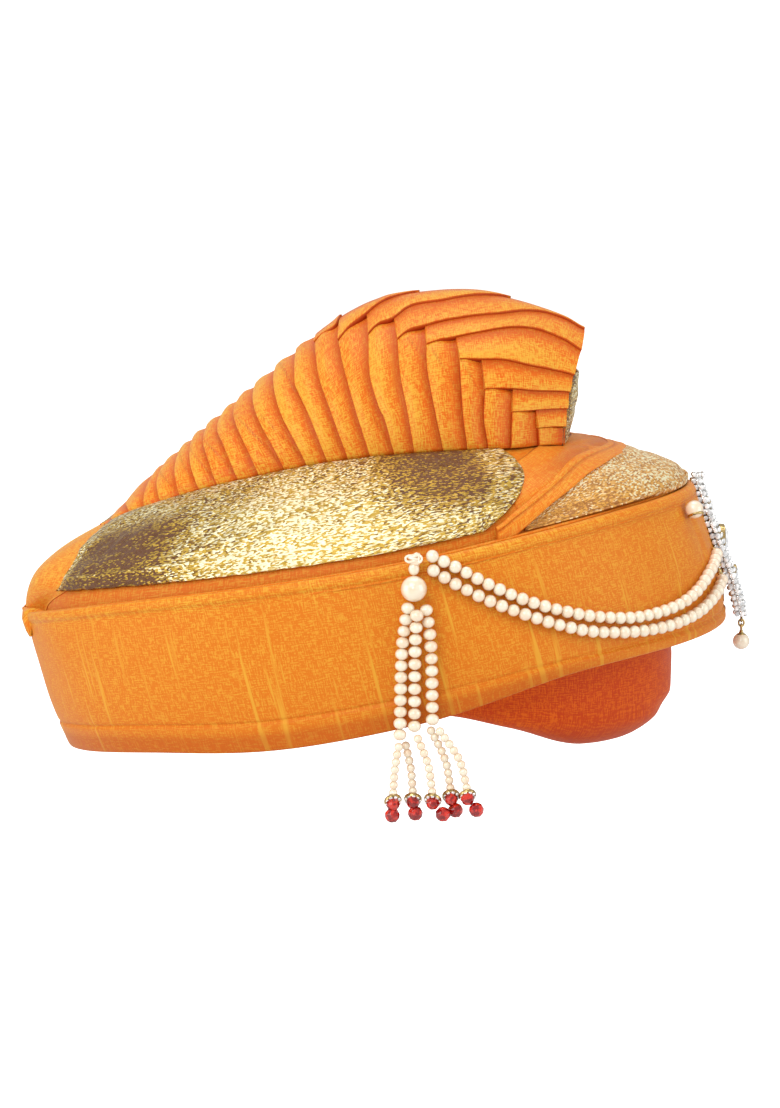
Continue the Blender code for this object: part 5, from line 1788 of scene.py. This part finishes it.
@dataclass
class Tassel:
    """The pearl tassel: thread knot, large pearl, three columns and five thin strings with stones."""

    palette: Palette
    form: BrimForm = BrimForm()
    angle: float = -81.0
    lift: float = 0.0042
    knot_height: float = 0.0080
    knot_radius: float = 0.0028
    big: float = 0.010
    column_pearl: float = 0.0046
    strand_pearl: float = 0.003
    column_length: float = 0.0535
    strand_length: float = 0.0215
    gap: float = 0.0003
    tilt: float = 52.0
    columns: tuple[tuple[float, ...], ...] = ((-2.0, -5.4, 0.0, 0.0, 1.00), (1.2, 0.2, 3.8, 2.2, 0.90),
                                              (4.4, 7.2, 0.0, 0.6, 0.88))
    strands: tuple[tuple[float, ...], ...] = (
        (0, -5.6, -8.0, 0.9, 1.00, 0.0), (0, -3.4, -0.3, -2.1, 0.99, 0.0006), (1, 1.0, 7.3, 0.9, 0.98, 0.0034),
        (2, 6.0, 14.4, -1.6, 0.93, 0.0006), (2, 9.2, 20.7, 0.9, 0.90, 0.0016))

    def top(self) -> Array:
        """Give the top of the knot."""
        return self.form.face(self.angle, 1.0, 0.0020 + self.knot_radius) + (0, 0, self.lift)

    def big_centre(self) -> Array:
        """Give the middle of the large pearl."""
        x, _, z = self.top()
        y = self.form.face(self.angle, 0.8, 0.0006 + self.big / 2)[1]
        return np.array((x, y, z - self.knot_height - self.gap - self.big / 2))

    def knot(self) -> None:
        """Make the thread knot: two wound turns, two loops at their side and a small bead below."""
        top = self.top()
        turn = circle(28)
        heap = Heap()
        for step, (wide, lean) in enumerate(((0.0019, 0.3), (0.0021, -0.2), (0.0020, 0.2), (0.0017, -0.3))):
            ring = np.stack((wide * np.cos(turn), wide * np.sin(turn), lean * wide * np.cos(turn)), axis=-1)
            ring = top + ring + (0, 0, -0.0008 - 0.0009 * step)
            heap.add_surface(tube(ring, 0.00062, closed=True).facing(top))
        for side, wide, high in ((-1, 0.0026, 0.0017), (1, 0.0024, 0.0020), (1, 0.0015, 0.0028)):
            loop = np.stack((side * wide * (1 + np.cos(turn)) * 0.62, -0.0016 + 0.0004 * np.sin(turn),
                             high * np.sin(turn) * 0.72 - 0.0018), axis=-1)
            heap.add_surface(tube(top + loop, 0.00050, closed=True))
        knot = heap.piece("tassel_thread")
        self.outward(knot)
        dress(knot, self.palette.thread, ("tassel_knot",))
        beads("tassel_connector", self.palette.pearl, top + (0, -0.0002, -0.0058), 0.0021, 6, squash=1.25)

    @staticmethod
    def outward(piece: bpy.types.Object) -> None:
        """Recalculate the faces of a piece so that they point outwards."""
        shape = bmesh.new()
        shape.from_mesh(piece.data)
        bmesh.ops.recalc_face_normals(shape, faces=shape.faces)
        shape.to_mesh(piece.data)
        shape.free()

    def build(self) -> None:
        """Make the tassel from its knot down."""
        self.knot()
        centre = self.big_centre()
        beads("tassel_pearl", self.palette.pearl, centre, self.big / 2, 12, ("tassel_big_pearl",))
        column_top = centre[2] - self.big / 2 - self.gap
        feet = self.hang_columns(centre, column_top)
        self.hang_strands(centre, column_top - self.column_length, feet)

    def hang_columns(self, centre: Array, column_top: float) -> list[float]:
        """Hang the three columns of pearls and give the heights of their feet.

        Args:
            centre: Middle of the large pearl.
            column_top: Height of their top.

        Returns:
            Height of the foot of each.
        """
        feet = []
        for number, (top_step, foot_step, forward, drop, share) in enumerate(self.columns, start=1):
            x, y = centre[0], centre[1]
            high = np.array((x + top_step * MM, y - forward * MM, column_top - drop * MM))
            low = np.array((x + foot_step * MM, y, high[2] - self.column_length * share))
            third = np.array((*(high[:2] + (low[:2] - high[:2]) * 0.75), high[2] + (low[2] - high[2]) * 0.35))
            route = np.array((high, third, low))
            count = round((high[2] - low[2]) / self.column_pearl)
            centres = run_through(route, (np.arange(count) + 0.5) / count)
            sizes = self.column_pearl / 2 * (1.12 + 0.02 * np.sin(np.arange(count) * 1.9 + number))
            beads(f"tassel_pearls_{number}", self.palette.pearl, centres, sizes, 6,
                  (f"tassel_column_{number}",), 0.88, np.gradient(centres, axis=0))
            feet.append(low[2])
        return feet

    def hang_strands(self, centre: Array, foot: float, feet: list[float]) -> None:
        """Hang the five thin strings, each with its rondelle and two red stones.

        Args:
            centre: Middle of the large pearl.
            foot: Height of the longest column's foot.
            feet: Height of each column's foot.
        """
        small, gold, rings, stones = Heap(), Heap(), Heap(), Heap()
        names: list[str] = []
        for number, (column, top_step, foot_step, forward, share, swing) in enumerate(self.strands, start=1):
            x, y = centre[0], centre[1] - forward * MM
            high = np.array((x + top_step * MM, y, feet[int(column)] - 3 * self.gap))
            low = np.array((x + foot_step * MM, y, foot - self.gap - self.strand_length * share))
            middle = np.array((high[0] + (low[0] - high[0]) * 0.72, y, (high[2] + low[2]) / 2))
            count = round(np.linalg.norm(high - low) / (0.97 * self.strand_pearl))
            centres = run_through(np.array((high, middle, low)), (np.arange(count) + 0.5) / count)
            add_balls(small, centres, self.strand_pearl / 2 * 1.14, 5, 1.0, np.gradient(centres, axis=0))
            names.append(f"tassel_strand_{number}")
            self.rondelle(number, gold, rings)
            for place in (0, 1):
                box = np.array(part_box(f"tassel_crystal_{2 * number - 1 + place}"))
                middle = box.mean(axis=0) + np.array((0.5 * swing * place, -0.0018, 0.0024 - 0.0002 * place))
                size = (box[1, 0] - box[0, 0]) / 2 * (1.0 + 0.12 * place)
                cut = ((0.44, -0.84), (0.86, -0.42), (0.98, 0.0), (0.86, 0.42), (0.44, 0.84))
                lean = np.array((0.2 + 0.1 * number % 0.3, -1.0, 0.35 + 0.1 * place))
                add_turned(stones, cut, middle, lean, size, 8, 0.5)
        dress(small.piece("tassel_small_pearls"), self.palette.pearl, tuple(names))
        dress(gold.piece("tassel_rondelles", smooth=40), self.palette.gilt,
              tuple(f"tassel_rondelle_{number}" for number in range(1, 6)))
        dress(rings.piece("tassel_rondelle_stones", smooth=0), self.palette.clear)
        dress(stones.piece("tassel_crystals", smooth=0), self.palette.red,
              tuple(f"tassel_crystal_{number}" for number in range(1, 11)))

    def rondelle(self, number: int, gold: Heap, stones: Heap) -> None:
        """Add one rondelle: a gilt ring with small stones round its rim.

        Args:
            number: Number of the string.
            gold: Where its metal goes.
            stones: Where its stones go.
        """
        box = np.array(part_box(f"tassel_rondelle_{number}"))
        centre = box.mean(axis=0)
        radius = (box[1, 0] - box[0, 0]) / 2 * 1.12
        tilt = math.radians(self.tilt + 4 * math.sin(number * 2.1))
        axis = np.array((0.22 * math.sin(number * 1.7), -math.sin(tilt), -math.cos(tilt)))
        profile = ((0.30, -0.16), (0.80, -0.26), (0.98, -0.16), (1.0, 0.0), (0.90, 0.22), (0.62, 0.24),
                   (0.55, 0.12), (0.30, 0.16))
        add_turned(gold, profile, centre, axis, radius, 20)
        first, second, third = (part[0] for part in frames(axis[None]))
        turn = circle(9)[:, None]
        out = np.cos(turn) * first + np.sin(turn) * second
        add_turned(stones, STONE_CUT, centre + radius * (0.76 * out + 0.24 * third), third + 0.35 * out,
                   radius * 0.20, 8)
        add_balls(gold, centre + radius * (0.98 * out * 0.92 + 0.20 * third), radius * 0.07, 2)


@dataclass
class Brooch:
    """The jewelled brooch at the brow, with its side pearl and its drop."""

    palette: Palette
    form: BrimForm = BrimForm()
    length: float = 0.0597
    width: float = 0.030
    thickness: float = 0.0038
    standoff: float = 0.0042
    top_lift: float = 0.0035
    stone: float = 0.0024
    shape: Curve = Curve(((0.00, -0.10, 0.16), (0.12, 0.06, 0.50), (0.28, 0.10, 0.84), (0.45, 0.25, 1.00),
                          (0.62, 0.50, 0.86), (0.80, 0.80, 0.54), (0.93, 0.98, 0.30), (1.00, 1.00, 0.18)))
    side_angle: float = -19.5
    side_pearl: float = 0.0074
    drop_pearl: float = 0.007

    def back(self, share: Array) -> tuple[Array, Array, Array]:
        """Give x of the brooch's back, its height and its half width at shares of its length."""
        share = np.asarray(share, float)
        height = self.form.top(0.0) + self.top_lift - self.length * share
        foot = self.form.foot(0.0)
        inside = np.minimum((height - foot) / (self.form.top(0.0) - foot), 1.0)
        face = self.form.face(0.0, inside)[..., 0] + self.form.roll * (1 - np.minimum(1, share / 0.2))
        out = face + 0.0006 + self.standoff * np.maximum(0.0, self.shape.read(1, share))
        return out, height, self.width / 2 * self.shape.read(2, share)

    def place(self, share: Array, across: Array, out: Array) -> Array:
        """Give points over the brooch's back.

        Args:
            share: Shares of its length from the top.
            across: Shares of its half width.
            out: Steps forward.

        Returns:
            Points, with a last axis of three.
        """
        back, height, half = self.back(share)
        y = half * across
        return np.stack(np.broadcast_arrays(back - y**2 / self.form.width + out, y, height), axis=-1)

    def plate(self) -> None:
        """Make the plate: a closed shell that thins to its edges, with a lobed outline."""
        share = np.linspace(0.0, 1.0, 70)[:, None]
        turn = circle(36)[None, :]
        lobes = 1 + 0.05 * np.sin(share * 2 * math.pi * 9)
        across = np.cos(turn) * lobes * np.minimum(1, 6 * np.sqrt(share * (1 - share)) + 0.2)
        bulge = square_off(np.sin(turn), 0.6)
        out = self.thickness * (0.42 + 0.40 * bulge)
        heap = Heap()
        surface = Surface(self.place(share, across, out), {}, close_columns=True)
        heap.add_surface(surface)
        ring = np.arange(36)
        heap.add_faces(ring[None, ::-1], 0)
        heap.add_faces((ring + 69 * 36)[None], 0)
        piece = heap.piece("brooch_plate", smooth=50)
        Tassel.outward(piece)
        dress(piece, self.palette.silver, ("brooch",))

    def stones(self) -> None:
        """Set small stones round the rim and in rows on the face, and three larger ones in the middle."""
        clear, metal, gold = Heap(), Heap(), Heap()
        share = np.linspace(0.015, 0.985, 25)
        for side in Side:
            for across, out, lean, size in ((1.00, 0.02, 4.0, 0.95), (1.04, 0.62, 2.4, 1.0), (0.84, 0.98, 0.7, 0.9),
                                            (0.56, 1.05, 0.2, 0.8)):
                centres = self.place(share, side.value * across, self.thickness * out)
                axes = np.stack((np.ones_like(share), np.full_like(share, side.value * lean),
                                 0.15 * np.sin(share * 40)), axis=-1)
                sizes = self.stone / 2 * size * (0.92 + 0.12 * np.sin(share * 70 + across * 9))
                keep = self.back(share)[2] * across > 0.0012
                add_turned(clear, STONE_CUT, centres[keep], axes[keep], sizes[keep], 8)
                add_turned(metal, STONE_CUP, centres[keep], axes[keep], sizes[keep], 8)
        for number in range(1, 4):
            box = np.array(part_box(f"brooch_stone_{number}"))
            centre, radius = box.mean(axis=0) - (0.0016, 0, 0), (box[1, 1] - box[0, 1]) / 2
            axis = np.array((1.0, 0, 0.12 * (2 - number)))
            add_turned(clear, ((0.9, -0.3), (1.0, 0.0), (0.86, 0.22), (0.55, 0.40)), centre, axis, radius, 12)
            add_turned(gold, ((1.0, -0.42), (1.16, -0.30), (1.14, 0.06), (1.02, 0.12)), centre, axis, radius, 24)
        dress(clear.piece("brooch_stones", smooth=0), self.palette.clear,
              tuple(f"brooch_stone_{number}" for number in range(1, 4)))
        dress(metal.piece("brooch_claws", smooth=30), self.palette.silver)
        dress(gold.piece("brooch_bezels", smooth=40), self.palette.gilt)

    def pearls(self) -> None:
        """Make the side pearl in its ring, and the drop pearl under its gilt cap and link."""
        radius = self.side_pearl / 2
        centre = self.form.face(self.side_angle, 0.88, radius + 0.0006)
        beads("brooch_pearl", self.palette.pearl, centre, radius, 9, ("brooch_side_pearl",))
        gold = Heap()
        under = np.array((0.25, -0.35, -1.0))
        first, second, third = (part[0] for part in frames(under[None]))
        turn = circle(40)[:, None]
        ring = centre + 0.62 * radius * third + radius * 0.80 * (np.cos(turn) * first + np.sin(turn) * second)
        gold.add_surface(tube(ring, 0.00055, closed=True))
        low, high = (np.array(corner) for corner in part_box("brooch_drop"))
        middle = (low + high) / 2
        ball = self.drop_pearl / 2
        centre = np.array((middle[0], middle[1], low[2] + ball))
        beads("brooch_drop_pearl", self.palette.pearl, centre, ball, 9, ("brooch_drop",))
        cap = ((1.02, -0.02), (1.00, 0.10), (0.72, 0.42), (0.40, 0.60), (0.26, 0.86), (0.30, 1.0))
        add_turned(gold, cap, centre + (0, 0, ball * 0.52), UP, ball * 0.78, 16)
        links = high[2] - (centre[2] + ball * 1.25)
        for number in range(3):
            swing = 0.0011 * np.cos(turn[:, 0])
            loop = np.stack((swing * (number % 2), swing * ((number + 1) % 2),
                             0.0015 * np.sin(turn[:, 0])), axis=-1)
            at = centre + (0, 0, ball * 1.30 + links * (0.18 + 0.32 * number))
            gold.add_surface(tube(at + loop, 0.00042, closed=True))
        piece = gold.piece("brooch_gilt", smooth=60)
        Tassel.outward(piece)
        dress(piece, self.palette.gilt)

    def build(self) -> None:
        """Make the brooch."""
        self.plate()
        self.stones()
        self.pearls()


@dataclass(frozen=True)
class Studio:
    """The camera, the lights and the pale floor."""

    target: tuple[float, float, float] = (-0.0125, 0.0, 0.0704)
    distance: float = 1.5
    elevation: float = 6.5
    lens: float = 117.0
    floor_drop: float = 0.12
    floor_radius: float = 6.0
    surround: float = 0.62
    seen_extra: float = 0.50

    def camera(self) -> None:
        """Place the camera square to the wearer's right side, a little above."""
        lift = math.radians(self.elevation)
        place = Vector(self.target) + self.distance * Vector((0, -math.cos(lift), math.sin(lift)))
        data = bpy.data.cameras.new("camera")
        data.lens = self.lens
        data.sensor_width = 36.0
        camera = linked("camera", data)
        camera.location = place
        camera.rotation_euler = (Vector(self.target) - place).to_track_quat("-Z", "Y").to_euler()
        bpy.context.scene.camera = camera

    def lamp(self, name: str, place: tuple[float, float, float], size: tuple[float, float], power: float,
             colour: tuple[float, float, float] = (1.0, 1.0, 1.0)) -> None:
        """Add a rectangular light that faces the turban.

        Args:
            name: Its name.
            place: Where it stands.
            size: Its two sides.
            power: Its power in watts.
            colour: Its colour.
        """
        data = bpy.data.lights.new(name, "AREA")
        data.shape = "RECTANGLE"
        data.size, data.size_y = size
        data.energy = power
        data.color = colour
        lamp = linked(name, data)
        lamp.location = place
        lamp.rotation_euler = (Vector(self.target) - Vector(place)).to_track_quat("-Z", "Y").to_euler()

    def world(self) -> None:
        """Light the scene from a white surround that is brighter to the camera."""
        world = bpy.data.worlds.new("surround")
        bpy.context.scene.world = world
        world.use_nodes = True
        wiring = Wiring(world.node_tree)
        seen = wiring.add("ShaderNodeLightPath").outputs["Is Camera Ray"]
        strength = wiring.plus(wiring.times(seen, self.seen_extra), self.surround)
        wiring.feed(world.node_tree.nodes["Background"], Color=(1.0, 1.0, 1.0, 1.0), Strength=strength)

    def floor(self, foot: float) -> None:
        """Lay a round pale floor below a height."""
        turn = circle(64)
        ring = np.stack((self.floor_radius * np.cos(turn), self.floor_radius * np.sin(turn),
                         np.full(64, foot - self.floor_drop)), axis=-1)
        mesh = bpy.data.meshes.new("floor")
        mesh.from_pydata(ring, [], [list(range(64))])
        floor = linked("floor", mesh)
        material = bpy.data.materials.new("pale_floor")
        material.use_nodes = True
        shader = material.node_tree.nodes["Principled BSDF"]
        wiring = Wiring(material.node_tree)
        seen = wiring.add("ShaderNodeLightPath").outputs["Is Camera Ray"]
        wiring.feed(shader, Base_Color=(0.8, 0.8, 0.8, 1.0), Roughness=0.9,
                    Emission_Color=(1.0, 1.0, 1.0, 1.0), Emission_Strength=seen)
        mesh.materials.append(material)
        floor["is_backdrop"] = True

    def build(self, foot: float) -> None:
        """Set up the studio over a floor below the given height."""
        self.camera()
        self.world()
        self.lamp("key", (-0.55, -1.15, 1.05), (0.9, 0.9), 9.5, (1.0, 0.985, 0.96))
        self.lamp("fill", (1.15, -0.55, 0.35), (0.8, 0.9), 4.3)
        self.lamp("side", (-1.2, -0.5, 0.25), (0.8, 0.9), 4.5)
        self.lamp("top", (0.05, 0.15, 1.25), (0.8, 0.8), 4.5)
        self.lamp("spark", (-0.22, -1.45, 0.50), (0.2, 0.2), 1.6)
        self.floor(foot)
        bpy.context.scene.view_settings.view_transform = "Standard"


def main() -> None:
    """Build every piece, then set up the studio."""
    logging.basicConfig(level=logging.INFO, format="%(message)s")
    low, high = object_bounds()
    palette = Palette()
    for kind in (BrimBand, HeadCap, DeckCloths, GoldTissues, Crest, Garlands, Tassel, Brooch):
        kind(palette).build()
        LOG.info("%s is built", kind.__name__)
    Studio().build(low[2])


if __name__ == "__main__":
    main()
